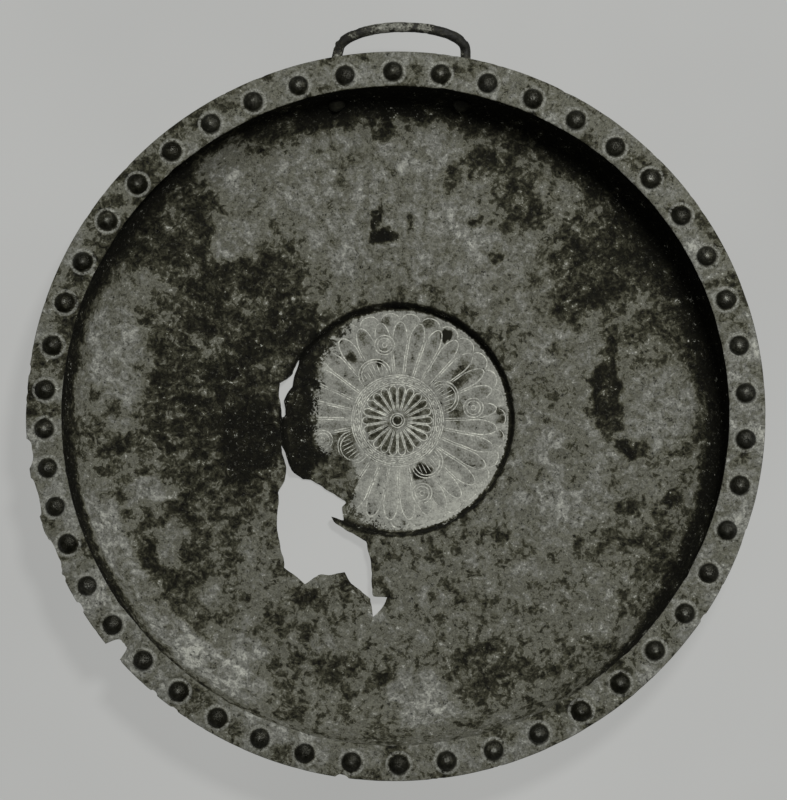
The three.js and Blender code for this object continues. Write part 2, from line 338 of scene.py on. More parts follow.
class FinishTree:
    """A material that is built node by node."""

    def __init__(self, name: str) -> None:
        """Starts an empty material with a Principled BSDF."""
        self.material = bpy.data.materials.new(name)
        self.material.use_nodes = True
        self.nodes = self.material.node_tree.nodes
        self.shader = self.nodes["Principled BSDF"]

    def node(
        self, kind: str, settings: dict[str, Any] | None = None, inputs: dict[Any, Any] | None = None
    ) -> bpy.types.Node:
        """Adds a node.

        Args:
            kind: the node's type.
            settings: its properties, set first. A ramp's stops go under "stops".
            inputs: values, wires or sockets for its inputs, by name or number.

        Returns:
            The node.
        """
        node = self.nodes.new(kind)
        for key, value in (settings or {}).items():
            if key == "stops":
                while len(node.color_ramp.elements) < len(value):
                    node.color_ramp.elements.new(0.5)
                for element, (place, colour) in zip(node.color_ramp.elements, value):
                    element.position = place
                    element.color = (*colour, 1)
            else:
                setattr(node, key, value)
        for key, value in (inputs or {}).items():
            self.feed(node.inputs[key], value)
        return node

    def feed(self, socket: bpy.types.NodeSocket, value: Any) -> None:
        """Links a wire or socket to an input, or sets a plain value on it."""
        if isinstance(value, Wire):
            self.material.node_tree.links.new(value.socket, socket)
        elif isinstance(value, bpy.types.NodeSocket):
            self.material.node_tree.links.new(value, socket)
        else:
            socket.default_value = value

    def wire(self, node: bpy.types.Node, output: int | str = 0) -> Wire:
        """A node's output as a wire."""
        return Wire(self, node.outputs[output])

    def place(self) -> bpy.types.NodeSocket:
        """Position on the piece, in millimetres."""
        coordinates = self.node("ShaderNodeTexCoord")
        inputs = {0: coordinates.outputs["Object"], "Scale": 1 / MM}
        return self.node("ShaderNodeVectorMath", {"operation": "SCALE"}, inputs).outputs[0]

    def noise(
        self, place: bpy.types.NodeSocket, size: float, detail: float = 4, roughness: float = 0.55,
        twist: float = 0.0,
    ) -> bpy.types.Node:
        """Noise whose coarsest lumps are about size millimetres wide."""
        inputs = {
            "Vector": place, "Scale": 1 / size, "Detail": detail, "Roughness": roughness,
            "Distortion": twist,
        }
        return self.node("ShaderNodeTexNoise", None, inputs)

    def attribute(self, name: str) -> Wire:
        """A number stored on the mesh."""
        node = self.node("ShaderNodeAttribute", {"attribute_name": name})
        return self.wire(node, "Fac")

    def ramp(
        self, tone: Wire, stops: Sequence[tuple[float, tuple[float, float, float]]]
    ) -> bpy.types.NodeSocket:
        """A colour for each tone."""
        return self.node("ShaderNodeValToRGB", {"stops": stops}, {"Fac": tone}).outputs["Color"]

    def scaled(self, colour: bpy.types.NodeSocket, share: Wire) -> bpy.types.NodeSocket:
        """A colour made darker or paler by a number."""
        inputs = {0: colour, "Scale": share}
        return self.node("ShaderNodeVectorMath", {"operation": "SCALE"}, inputs).outputs[0]

    def mixed(self, share: Wire, low: Any, high: Any) -> bpy.types.NodeSocket:
        """A colour between two: low where share is 0, high where it is 1."""
        node = self.node("ShaderNodeMix", {"data_type": "RGBA"}, {"Factor": share})
        self.feed(node.inputs[6], low)
        self.feed(node.inputs[7], high)
        return node.outputs[2]

    def bump(self, height: Wire, distance: float) -> None:
        """Fine relief; distance is the height in millimetres of a full step."""
        inputs = {"Height": height, "Distance": distance * MM, "Strength": 1.0}
        node = self.node("ShaderNodeBump", None, inputs)
        self.feed(self.shader.inputs["Normal"], node.outputs["Normal"])


# ---- Finishes -------------------------------------------------------------------------------------

Stops = tuple[tuple[float, float], ...]
OLIVE = (1.03, 1.0, 0.56)
STONE = (1.0, 1.01, 0.885)


def tinted(stops: Stops) -> list[tuple[float, tuple[float, float, float]]]:
    """Ramp stops from grey levels: the darkest are olive, the palest almost neutral."""
    shares = [min(1.0, level / 0.17) for _, level in stops]
    return [
        (place, tuple(level * (dark + (pale - dark) * share) for dark, pale in zip(OLIVE, STONE)))
        for (place, level), share in zip(stops, shares)
    ]


@dataclass(frozen=True)
class BasinPatinaAndPaintedLight:
    """The basin's upper side: crusts in crisp islands, a pale worn disc, dark bosses with pale rings, a
    painted highlight near each boss's top, and the painted shade and painted light that come in with the
    patina attribute.
    """

    name: str = "basin_patina_and_painted_light"
    crust: Stops = (
        (0.0, 0.005), (0.2, 0.011), (0.31, 0.028), (0.39, 0.056), (0.436, 0.070), (0.447, 0.108),
        (0.466, 0.092), (0.60, 0.130), (0.76, 0.175), (0.90, 0.27), (1.0, 0.36),
    )
    disc: Stops = ((0.0, 0.010), (0.22, 0.030), (0.38, 0.105), (0.55, 0.20), (0.75, 0.29), (1.0, 0.42))
    shore: float = 0.468
    boss_edge: tuple[float, float] = (4.6, 3.9)
    halo: tuple[float, float, float, float] = (4.55, 4.95, 5.5, 6.3)

    def build(self) -> bpy.types.Material:
        """Makes the material."""
        tree = FinishTree(self.name)
        place = tree.place()
        broad = tree.wire(tree.noise(place, 26, 8, 0.66, 0.5)) - 0.5
        middle = tree.wire(tree.noise(place, 7, 8, 0.72, 0.3)) - 0.5
        islet = tree.wire(tree.noise(place, 3.6, 4, 0.6, 0.9)) - 0.5
        fine = tree.wire(tree.noise(place, 1.9, 4, 0.75)) - 0.5
        grit = tree.wire(tree.noise(place, 0.75, 2, 0.6)) - 0.5
        flecks = tree.wire(tree.noise(place, 1.3, 3, 0.6)).step(0.58, 0.72)
        # The patina attribute holds the stains and also painted shade under the rim and a painted lit band on
        # the lower left wall.
        coast = tree.attribute("patina") + broad * 0.8 + middle * 1.25 + islet * 0.75
        value = coast + islet * 0.1 + fine * 0.2
        chips = (islet + fine * 0.7).step(-0.012, 0.022)
        pits = (middle * 0.5 + fine + grit * 0.5).step(-0.135, -0.17)
        mottle = (0.93 + chips * 0.20 - pits * 0.45 + fine * 0.8 + grit * 1.5).most(0.12)
        crust = tree.scaled(tree.ramp(value, tinted(self.crust)), mottle)
        shore = abs(coast - self.shore).step(0.034, 0.008) * (fine * 2 + broad * 4 + 0.6).step(0.2, 0.7)
        crust = tree.mixed(shore * 0.7 + flecks * 0.22, crust, (0.19, 0.19, 0.157, 1))
        worn = tree.attribute("disc_tone") + broad * 0.25 + middle * 0.6
        worn = worn + islet * 0.5 + fine * 0.7 + grit * 0.7
        disc = tree.ramp(worn, tinted(self.disc))
        on_disc = tree.attribute("on_disc") + middle * 1.4 + islet * 1.2 + fine * 1.8 + grit * 1.2
        on_disc = on_disc.step(0.42, 0.58)
        base = tree.mixed(on_disc, crust, disc)
        distance = tree.attribute("boss_mm") + fine * 0.9 + middle * 0.6
        ring = distance.step(*self.halo[:2]) * distance.step(self.halo[3], self.halo[2])
        ring = ring * (middle * 2.2 + fine * 1.6 + 0.7).step(0.25, 0.75)
        pale = tree.ramp(fine + grit + 0.5, tinted(((0.3, 0.12), (0.5, 0.21), (0.7, 0.33))))
        base = tree.mixed(ring * 0.9, base, pale)
        dome = tree.attribute("boss_mm").step(*self.boss_edge)
        dark_stops = ((0.25, 0.004), (0.58, 0.010), (0.72, 0.030), (0.88, 0.11))
        dark = tree.ramp(broad * 0.6 + middle + fine * 0.8 + 0.5, tinted(dark_stops))
        base = tree.mixed(dome * 0.93, base, dark)
        # Painted highlight: a pale spot near the top of each dome.
        painted_highlight = (tree.attribute("boss_mm") + middle * 4 + fine * 3).step(1.5, 0.4)
        painted_highlight = painted_highlight * (broad * 5 + middle * 4 + 0.5).step(0.1, 0.9)
        base = tree.mixed(painted_highlight * 0.5, base, pale)
        tree.feed(tree.shader.inputs["Base Color"], base)
        tree.shader.inputs["Specular IOR Level"].default_value = 0.14
        rough = (middle * 0.3 + fine * 0.4 + 0.88 - dome * 0.54).most(0.3).least(1.0)
        tree.feed(tree.shader.inputs["Roughness"], rough)
        tree.feed(tree.shader.inputs["Metallic"], 0.10 - on_disc * 0.05 + dome * 0.36)
        tree.bump(value * 0.7 + fine * 0.9 + grit * 0.4, 0.38)
        return tree.material


@dataclass(frozen=True)
class PlainPatina:
    """Quieter patina for the sides that face away: one run of tones, broken up at three scales."""

    name: str
    stops: Stops
    sizes: tuple[float, float, float] = (26, 7, 1.6)
    roughness: float = 0.66
    metallic: float = 0.35
    relief: float = 0.25
    wear: str = ""

    def build(self) -> bpy.types.Material:
        """Makes the material."""
        tree = FinishTree(self.name)
        place = tree.place()
        broad, middle, fine = (
            tree.wire(tree.noise(place, size, 5, 0.6, 0.3)) - 0.5 for size in self.sizes
        )
        value = broad * 0.8 + middle * 0.6 + fine * 0.4 + 0.5
        if self.wear:
            value = value + tree.attribute(self.wear)
        mottle = (1 + middle * 1.4 + fine * 2.6).most(0.2)
        tree.feed(tree.shader.inputs["Base Color"], tree.scaled(tree.ramp(value, tinted(self.stops)), mottle))
        rough = (middle * 0.4 + fine * 0.4 + self.roughness).most(0.35).least(0.9)
        tree.feed(tree.shader.inputs["Roughness"], rough)
        tree.shader.inputs["Metallic"].default_value = self.metallic
        tree.bump(middle * 0.5 + fine * 0.6, self.relief)
        return tree.material


UNDERSIDE = PlainPatina(
    "underside_patina", ((0.1, 0.014), (0.4, 0.045), (0.52, 0.075), (0.56, 0.12), (0.9, 0.18))
)
BROKEN_EDGE = PlainPatina(
    "broken_edge", ((0.2, 0.02), (0.5, 0.07), (0.8, 0.16)), (9, 3, 0.9), 0.7, 0.3, 0.15
)
CRACK_SHADE = PlainPatina("crack_shade", ((0.2, 0.004), (0.8, 0.012)), (9, 3, 0.9), 0.9, 0.1, 0.05)
ENGRAVED_LINE = PlainPatina(
    "engraved_line", ((0.15, 0.22), (0.4, 0.37), (0.6, 0.46), (0.85, 0.58)), (12, 4, 1.0), 0.8, 0.05, 0.05
)
HANDLE_BRONZE = PlainPatina(
    "dark_rod_patina", ((0.15, 0.004), (0.46, 0.009), (0.57, 0.024), (0.62, 0.13), (0.95, 0.34)),
    (10, 3.2, 0.9), 0.72, 0.25, 0.3, "wear",
)
RIVET_BRONZE = PlainPatina(
    "dark_rivet_patina", ((0.15, 0.005), (0.5, 0.013), (0.7, 0.03), (0.95, 0.07)),
    (9, 4, 1.1), 0.56, 0.45, 0.2,
)


# ---- Sheet: the turned form of the basin ----------------------------------------------------------


@dataclass(frozen=True)
class Blister:
    """A burst corrosion blister: a raised ring round a small pit."""

    x: float
    y: float
    radius: float
    stretch: float
    height: float

    def height_at(self, points: np.ndarray) -> np.ndarray:
        """A ring h exp(-((p - 1) / 0.28)^2) less a pit 0.8 h exp(-(p / 0.6)^2), p in radii."""
        run = np.hypot(points[:, 0] - self.x, (points[:, 1] - self.y) / self.stretch) / self.radius
        return self.height * (np.exp(-(((run - 1) / 0.28) ** 2)) - 0.8 * np.exp(-((run / 0.6) ** 2)))


@dataclass(frozen=True)
class Form:
    """Sizes of the basin's sheet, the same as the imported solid's, and the relief laid over it."""

    sheet: float = 1.2
    gap: float = 0.3
    oval: float = 0.005
    foot_radius: float = 49.5
    foot_top_radius: float = 52.6
    floor_at_foot: float = 6.8
    floor_radius: float = 122
    floor_rise: float = 1.2
    wall_radius: float = 146.4
    wall_height: float = 26
    rim_top: float = 38
    rim_thickness: float = 1.8
    rim_inner: float = 145.4
    rim_outer: float = 161
    blisters: tuple[Blister, ...] = (
        Blister(-8, 92.5, 3.6, 1.5, 0.55), Blister(-5.5, 82.5, 5.2, 0.7, 0.4),
        Blister(36, 88, 3.0, 1.0, 0.35), Blister(7.5, 88, 2.2, 1.0, 0.35),
        Blister(46, 74, 2.4, 1.2, 0.3), Blister(-3, 128, 4.2, 0.7, 0.35),
        Blister(119, -37, 3.2, 1.1, 0.3), Blister(-28, 76, 2.6, 1.0, 0.3),
        Blister(62, 96, 3.0, 0.8, 0.3), Blister(-113, -32, 6.0, 0.8, 0.3),
    )
    hammer: Grain = field(default=Grain(11), repr=False)
    crust: Grain = field(default=Grain(23), repr=False)
    pits: Grain = field(default=Grain(37), repr=False)

    def wall(self, share: np.ndarray, offset: float = 0.0) -> np.ndarray:
        """The wall's quarter ellipse as rows of radius and height.

        Radius = floor radius + (a + offset) sin(angle), height = centre - (b + offset) cos(angle).

        Args:
            share: 0 at the floor, 1 at the widest point.
            offset: distance outside the wall's inner face.
        """
        angle = np.asarray(share) * math.pi / 2
        across = self.wall_radius - self.floor_radius + offset
        centre = self.floor_at_foot + self.floor_rise + self.wall_height
        radius = self.floor_radius + across * np.sin(angle)
        return np.stack([radius, centre - (self.wall_height + offset) * np.cos(angle)], -1)

    def upper_side(self) -> list[tuple[float, float, int]]:
        """The upper side from the centre to the rim's lip, as radius, height and points round it."""
        path = [(0.0, self.sheet, 1)]
        for radius in np.linspace(2.2, self.foot_radius - 0.4, 22):
            path.append((radius, self.sheet, 68 if radius < 7 else 136 if radius < 20 else 272))
        path += [
            (self.foot_radius + dr, self.sheet + dz, 272)
            for dr, dz in (
                (0.4, 0.05), (1.0, 0.5), (1.5, 1.4), (2.0, 3.0), (2.4, 4.4), (2.9, 5.2), (3.7, 5.58),
            )
        ]
        inner, outer = self.foot_top_radius + 2.2, self.floor_radius
        for radius in np.linspace(inner, outer, 37):
            share = (radius - self.foot_top_radius) / (outer - self.foot_top_radius)
            height = self.floor_at_foot + self.floor_rise * share
            path.append((radius, height, 272 if radius < 84 else 544))
        path += [(r, z, 544) for r, z in self.wall(np.linspace(0.06, 1, 15))]
        return path

    def rim(self) -> list[tuple[float, float, int]]:
        """The rim from its rounded lip over the flat top and round the outer edge."""
        top, low = self.rim_top, self.rim_top - self.rim_thickness
        lip = [(0.6, -1.9), (0.15, -1.3), (0.0, -0.7), (0.12, -0.25), (0.5, 0.0)]
        path = [(self.rim_inner + dr, top + dz, 544) for dr, dz in lip]
        path += [(r, top, 544) for r in np.linspace(self.rim_inner + 2.2, self.rim_outer - 0.7, 8)]
        edge = [(0.2, top - 0.12), (0.0, top - 0.5), (0.0, low + 0.5), (0.25, low + 0.1)]
        path += [(self.rim_outer - dr, z, 544) for dr, z in edge]
        return path

    def underside(self) -> list[tuple[float, float, int]]:
        """The underside from the rim's outer edge back to the centre."""
        low = self.rim_top - self.rim_thickness
        path = [(r, low, 544) for r in (self.rim_outer - 1, self.rim_outer - 3.5)]
        path += [(r, low, 272) for r in np.linspace(self.rim_outer - 6, self.wall_radius + 2.4, 3)]
        path += [(self.wall_radius + self.sheet + 0.35, low - 0.35, 272)]
        path += [(r, z, 272) for r, z in self.wall(np.linspace(0.98, 0, 11), self.sheet)]
        foot = self.foot_top_radius + self.sheet
        for radius in np.linspace(self.floor_radius - 5, foot + 2, 12):
            share = (radius - foot) / (self.floor_radius - foot)
            path.append((radius, self.floor_at_foot - self.sheet + self.floor_rise * share, 272))
        drop = self.floor_at_foot - self.sheet
        path += [
            (foot + dr, drop * share, 272)
            for dr, share in ((0.4, 0.985), (-0.3, 0.9), (-1.2, 0.6), (-1.9, 0.25), (-2.6, 0.05))
        ]
        path += [(r, 0.0, 272 if r > 20 else 136) for r in np.linspace(self.foot_radius, 8, 8)]
        return path + [(0.0, 0.0, 1)]

    def relief(self, points: np.ndarray) -> np.ndarray:
        """Height of the uneven surface over the plain form, along its normal.

        Hammering about 25 mm wide, two sizes of crust, scattered pits and a few burst blisters. It
        is fainter on the worn disc.
        """
        radius = np.hypot(points[:, 0], points[:, 1])
        quiet = 0.35 + 0.65 * smooth(radius, 46, 56)
        height = 0.24 * self.hammer.at(points, 26) + 0.14 * self.crust.layered(points, 7, 2)
        pitted = self.pits.at(points, 4.2)
        height -= 0.34 * smooth(pitted, 0.5, 0.85)
        height += 0.10 * smooth(-pitted, 0.45, 0.7)
        for blister in self.blisters:
            height += blister.height_at(points)
        return height * quiet

    def rings(self) -> list[np.ndarray]:
        """Every ring of the closed sheet, in order, with the relief on it.

        A ring is (r cos(1 + oval), r sin(1 - oval), z), moved along the section's normal.
        """
        top, rim, below = self.upper_side(), self.rim(), self.underside()
        path = top + rim + below
        section = np.array([(r, z) for r, z, _ in path])
        along = np.gradient(section, axis=0)
        normals = np.stack([-along[:, 1], along[:, 0]], 1)
        normals /= np.hypot(*normals.T)[:, None]
        normals[0], normals[-1] = (0, 1), (0, -1)
        rings = []
        for index, ((radius, height, count), (side, up)) in enumerate(zip(path, normals)):
            ring = circle(radius, height, count)
            if count == 1:
                ring = np.array([[0.0, 0.0, height]])
            move = self.relief(ring)
            if index >= len(top) + len(rim) - 6:
                move = np.minimum(move * 0.6, 0) - 0.02
            if index >= len(top) + len(rim):
                move = -0.24 * self.hammer.at(ring, 26) * smooth(np.array([height]), 1.0, 4.0)
                move = np.minimum(move, 0.2)
            angle = np.arctan2(ring[:, 1], ring[:, 0])
            direction = np.stack([side * np.cos(angle), side * np.sin(angle), np.full(count, up)], 1)
            ring = ring + direction * move[:, None]
            rings.append(ring * (1 + self.oval, 1 - self.oval, 1))
        return rings


# ---- Patches of patina ----------------------------------------------------------------------------


@dataclass(frozen=True)
class Stain:
    """An oval patch of paler (above 0) or darker (below 0) patina, in plan.

    Attributes:
        x, y: its middle.
        length, width: its half axes.
        turn: degrees from +X to its length.
        strength: how much it changes the tone.
        edge: softness, as a share of its size.
    """

    x: float
    y: float
    length: float
    width: float
    turn: float = 0
    strength: float = 0.5
    edge: float = 0.35

    def cover(self, points: np.ndarray) -> np.ndarray:
        """1 inside the oval, falling smoothly to 0 outside its edge."""
        angle = math.radians(self.turn)
        dx, dy = points[:, 0] - self.x, points[:, 1] - self.y
        along = (dx * math.cos(angle) + dy * math.sin(angle)) / self.length
        across = (dy * math.cos(angle) - dx * math.sin(angle)) / self.width
        return smooth(-np.hypot(along, across), -1 - self.edge, -1 + self.edge)


PALE_STAINS = (
    Stain(10, 92, 52, 36, 0, 0.42), Stain(-45, 112, 34, 20, 20, 0.40), Stain(45, 62, 26, 18, -30, 0.26),
    Stain(115, 4, 19, 17, 80, 0.52, 0.2), Stain(74, 30, 18, 12, 20, 0.36),
    Stain(72, -28, 27, 24, 15, 0.42), Stain(100, -30, 15, 12, 0, 0.24), Stain(-126, 26, 13, 32, 0, 0.65),
    Stain(-114, -31, 9.5, 6.5, 8, 0.8, 0.12), Stain(-67, -103, 8, 6, -40, 0.75, 0.2),
    Stain(-84, -78, 6, 9, 10, 0.6, 0.25), Stain(-100, -55, 6, 9, 10, 0.4, 0.3),
    Stain(11, -124, 15, 13, 0, 0.80, 0.25), Stain(-5, -87, 4.5, 2.6, 0, 0.6),
    Stain(-70, 82, 12, 9, 20, 0.6, 0.3), Stain(-76, 116, 13, 10, 35, 0.5, 0.3),
    Stain(-33, -98, 4, 4, 0, 0.6), Stain(62, -8, 12, 20, 20, 0.2), Stain(-121, 60, 7, 12, -15, 0.15),
    Stain(100, -68, 20, 10, 40, 0.16), Stain(60, -80, 26, 16, 20, 0.12),
)
DARK_STAINS = (
    Stain(-76, 22, 38, 58, 0, -0.5), Stain(-104, 88, 24, 26, -40, -0.5),
    Stain(-112, -28, 25, 24, 0, -0.35), Stain(-112, -66, 15, 22, 20, -0.4),
    Stain(-67, -9, 15, 20, 0, -1.15), Stain(-45, 36, 14, 17, 20, -0.6),
    Stain(-44, 4, 9, 31, 0, -0.95, 0.3), Stain(-62, 66, 22, 20, 0, -0.25),
    Stain(35, 112, 16, 9, 15, -0.75, 0.2), Stain(52, 95, 14, 13, -20, -0.62, 0.25),
    Stain(48, 107, 13, 8, 0, -0.6), Stain(92, 72, 24, 20, -40, -0.40), Stain(85, 54, 10, 8, 0, -0.5, 0.2),
    Stain(46, 74, 3, 5, 0, -0.8, 0.2), Stain(36, 88, 3.4, 3.4, 0, -0.9, 0.2),
    Stain(-8, 92.5, 2.4, 5.2, 0, -1.3, 0.2), Stain(-5, 82.5, 7, 4.6, 0, -1.3, 0.15),
    Stain(7.5, 88, 2.2, 2.4, 0, -0.8, 0.2), Stain(94, 16, 5.5, 25, 4, -0.68, 0.25),
    Stain(60, -25, 7, 6, 0, -0.45, 0.25), Stain(80, -25, 7, 5, 0, -0.45, 0.25),
    Stain(119, -37, 4.2, 4.2, 0, -0.8, 0.2), Stain(105, -12, 9, 4.5, -10, -0.7, 0.2),
    Stain(102, -38, 6, 5, 0, -0.5, 0.25), Stain(78, -10, 6, 5, 0, -0.5, 0.25),
    Stain(-115, -62, 14, 11, 20, -0.4), Stain(-127, 5, 5, 6, 0, -0.8, 0.2),
    Stain(-135, 12, 3.5, 5, 0, -0.7, 0.2), Stain(-133, -3, 4, 4, 0, -0.7, 0.2),
    Stain(-86, -62, 18, 13, 0, -0.28), Stain(-5, -115, 5, 5, 0, -0.4), Stain(-20, -110, 6, 5, 0, -0.4),
    Stain(-38, -80, 6, 5, 0, -0.4), Stain(-28, 138, 7, 5, 0, -0.7, 0.3),
    Stain(0, 137, 8, 4, 0, -0.8, 0.2), Stain(-3, 128, 6, 4, 0, -0.7, 0.25),
    Stain(40, -112, 34, 14, 15, -0.22), Stain(110, -66, 18, 12, 50, -0.2),
    Stain(-18, -66, 8, 10, 0, -0.3),
)


# Where the painted shade under the rim starts: degrees round the basin, and radii.
UNDER_RIM_SHADE_START = (
    (0, 30, 100, 130, 165, 195, 206, 255, 300, 318, 330, 360),
    (136.5, 135, 137.5, 142, 142.8, 142.6, 144, 146, 146, 141, 137, 136.5),
)
PETALS = 31
SHORT_PETALS = 22
PETAL_START = 1.0


def petal_drift(even: np.ndarray) -> np.ndarray:
    """The engraver's drift in degrees: two soft bumps in the petals' spacing round the disc."""
    left = 2.9 * smooth(-np.abs((even % 360) - 165), -75, -20)
    return left + 3.4 * smooth(-np.abs((even % 360) - 255), -60, -15)


@dataclass(frozen=True)
class Patches:
    """Where the basin's patina is pale or dark, and where shade and light are painted on it, as point
    attributes of the finished mesh.
    """

    form: Form
    warp: Grain = field(default=Grain(51), repr=False)
    rim_grain: Grain = field(default=Grain(67), repr=False)
    base: float = 0.463
    shade: float = 0.42
    disc_oval: tuple[float, float, float, float] = (8, 3, 44.5, 54)
    disc_crust: Stain = Stain(-34, -30, 18, 13, 32, 1.0, 0.12)
    disc_pits: tuple[Stain, ...] = (
        Stain(21.9, 38.6, 2.7, 2.7, 0, -1.8, 0.15), Stain(10.4, -22.7, 4.4, 3.6, 20, -1.1, 0.2),
        Stain(-5.5, 44.7, 2.4, 2, 0, -0.4), Stain(14.6, 45, 3, 2.2, 0, -0.35),
        Stain(-7.4, 24.8, 1.4, 1.4, 0, -0.7), Stain(-20.3, 28.3, 1.9, 1.9, 0, -0.7),
        Stain(47, 4, 2.2, 2, 0, -0.6), Stain(46.6, -0.5, 2, 2, 0, -0.6),
        Stain(46.2, -6.5, 1.6, 1.6, 0, -0.6), Stain(2.4, -46.6, 1.5, 1.5, 0, -0.6),
        Stain(28, 18, 3, 8, -35, -0.4), Stain(26, 4, 4, 5, 0, -0.25), Stain(-24, -12, 6, 9, 0, -0.3),
        Stain(14, -30, 4, 5, 10, -0.2), Stain(0, 0, 16, 16, 0, -0.17, 0.1),
        Stain(10, -33, 26, 14, 0, 0.18, 0.4), Stain(0, 0, 2.6, 2.6, 0, -0.3, 0.2),
    )

    def warped(self, points: np.ndarray, size: float, amount: float) -> np.ndarray:
        """The points moved about in plan by layered noise, so that round patches turn ragged."""
        flat = points * (1, 1, 0)
        moves = [self.warp.layered(flat + shift, size, 4) for shift in (0.0, 301.7)]
        return points[:, :2] + amount * np.stack(moves, 1)

    def clean_disc(self, points: np.ndarray) -> np.ndarray:
        """1 where the engraved disc shows, 0 under crust.

        The clean part is an oval that is a little off centre, less one lobe at its lower left.
        """
        x, y, length, width = self.disc_oval
        run = np.hypot((points[:, 0] - x) / length, (points[:, 1] - y) / width)
        clean = smooth(-run, -1.13, -0.87) * (1 - self.disc_crust.cover(points))
        return clean * smooth(-np.hypot(points[:, 0], points[:, 1]), -49.9, -49.1)

    def tone(self, points: np.ndarray) -> np.ndarray:
        """The crust's broad tone: its middle value, the patches, the rim's own, painted shade on the wall and
        under the rim, a darker ring along the foot's crease, and a painted lit band.
        """
        radius = np.hypot(points[:, 0], points[:, 1])
        angle = np.degrees(np.arctan2(points[:, 1], points[:, 0]))
        moved = self.warped(points, 9, 3.6)
        pale = np.max([s.strength * s.cover(moved) for s in PALE_STAINS], 0)
        dark = np.min([s.strength * s.cover(moved) for s in DARK_STAINS], 0)
        turned = angle % 360
        above = smooth(radius, self.form.rim_inner - 1.5, self.form.rim_inner)
        on_floor = np.where(points[:, 2] < self.form.rim_top - 1.0, 1, 1 - above)
        floor = (pale + dark) * 0.42
        # Painted shade: the wall on the lamp's side, where the rim's shadow falls, and a strip just under the
        # rim that is widest on the lamp's side and absent at the lower left.
        shaded = smooth(radius, 128, 140) * smooth(-np.abs(angle - 62), -74, -46)
        edge = radius - np.interp(turned, *UNDER_RIM_SHADE_START)
        wall = np.maximum(shaded, smooth(edge, -1.5, 3.2))
        # Painted light: a paler band on the lower left wall, which faces the lamp.
        painted_lit_band = smooth(-np.abs(radius - 136.5), -7.2, -5.6) * smooth(-np.abs(turned - 219), -30, -20)
        foot = smooth(-np.abs(radius - 51.1), -1.7, -0.9)
        blotch = 0.24 * self.rim_grain.layered(points, 10, 3)
        bright = 0.15 * smooth(-np.abs(angle + 12), -30, -10)
        olive = smooth(-np.abs(angle - 150), -48, -20) + 0.7 * smooth(-np.abs(angle + 50), -26, -8)
        rim = 0.11 + 0.8 * blotch + bright - 0.14 * olive
        tone = self.base + on_floor * (floor - self.shade * wall - 0.34 * foot) + (1 - on_floor) * rim
        return tone + 0.36 * on_floor * painted_lit_band * (1 - smooth(edge, 0, 2.2))

    def disc_tone(self, points: np.ndarray) -> np.ndarray:
        """Tone of the worn disc: pale, with dark pits and a greyer middle."""
        moved = self.warped(points, 7, 1.1)
        tone = 0.65 + np.sum([s.strength * s.cover(moved) for s in self.disc_pits], 0)
        radius = np.hypot(points[:, 0], points[:, 1])
        angle = np.degrees(np.arctan2(points[:, 1], points[:, 0]))
        even = angle - petal_drift(angle) - PETAL_START
        aside = (even * PETALS / 360 % 1 - 0.5) * TURN * radius / PETALS
        tip = smooth(-np.hypot((radius - 40.6) / 4.0, aside / 2.7), -1.1, -0.6)
        stem = smooth(-np.abs(radius - 29), -8, -5) * smooth(-np.abs(aside), -1.9, -0.8)
        spoke = (angle * SHORT_PETALS / 360 + 0.5) % 1 - 0.5
        inner = smooth(-np.abs(radius - 10.8), -4.6, -3.2) * smooth(-np.abs(spoke), -0.4, -0.15)
        edge = smooth(radius, 42, 47.5) * smooth(-np.abs(angle + 30), -75, -35)
        return tone + 0.12 * edge - 0.15 * tip - 0.08 * stem - 0.22 * inner

    def lay(self, data: bpy.types.Mesh, bosses: np.ndarray) -> None:
        """Writes the attributes patina, on_disc, disc_tone and boss_mm to a mesh; patina also holds painted
        shade and painted light.

        Args:
            data: the finished mesh, in metres.
            bosses: middles of the bosses, in millimetres.
        """
        points = np.empty(len(data.vertices) * 3)
        data.vertices.foreach_get("co", points)
        points = points.reshape(-1, 3) / MM
        upper = points[:, 2] > self.form.rim_top - 0.6
        distance = np.full(len(points), 10.0)
        for boss in bosses:
            run = np.hypot(points[:, 0] - boss[0], points[:, 1] - boss[1])
            distance = np.where(upper, np.minimum(distance, run), distance)
        values = {
            # patina: the stains, with painted shade under the rim and a painted lit band.
            "patina": self.tone(points),
            "on_disc": self.clean_disc(points),
            "disc_tone": self.disc_tone(points),
            "boss_mm": distance,
        }
        for name, value in values.items():
            layer = data.attributes.new(name, "FLOAT", "POINT")
            layer.data.foreach_set("value", value.astype(np.float32))


# ---- Engraving on the disc ------------------------------------------------------------------------


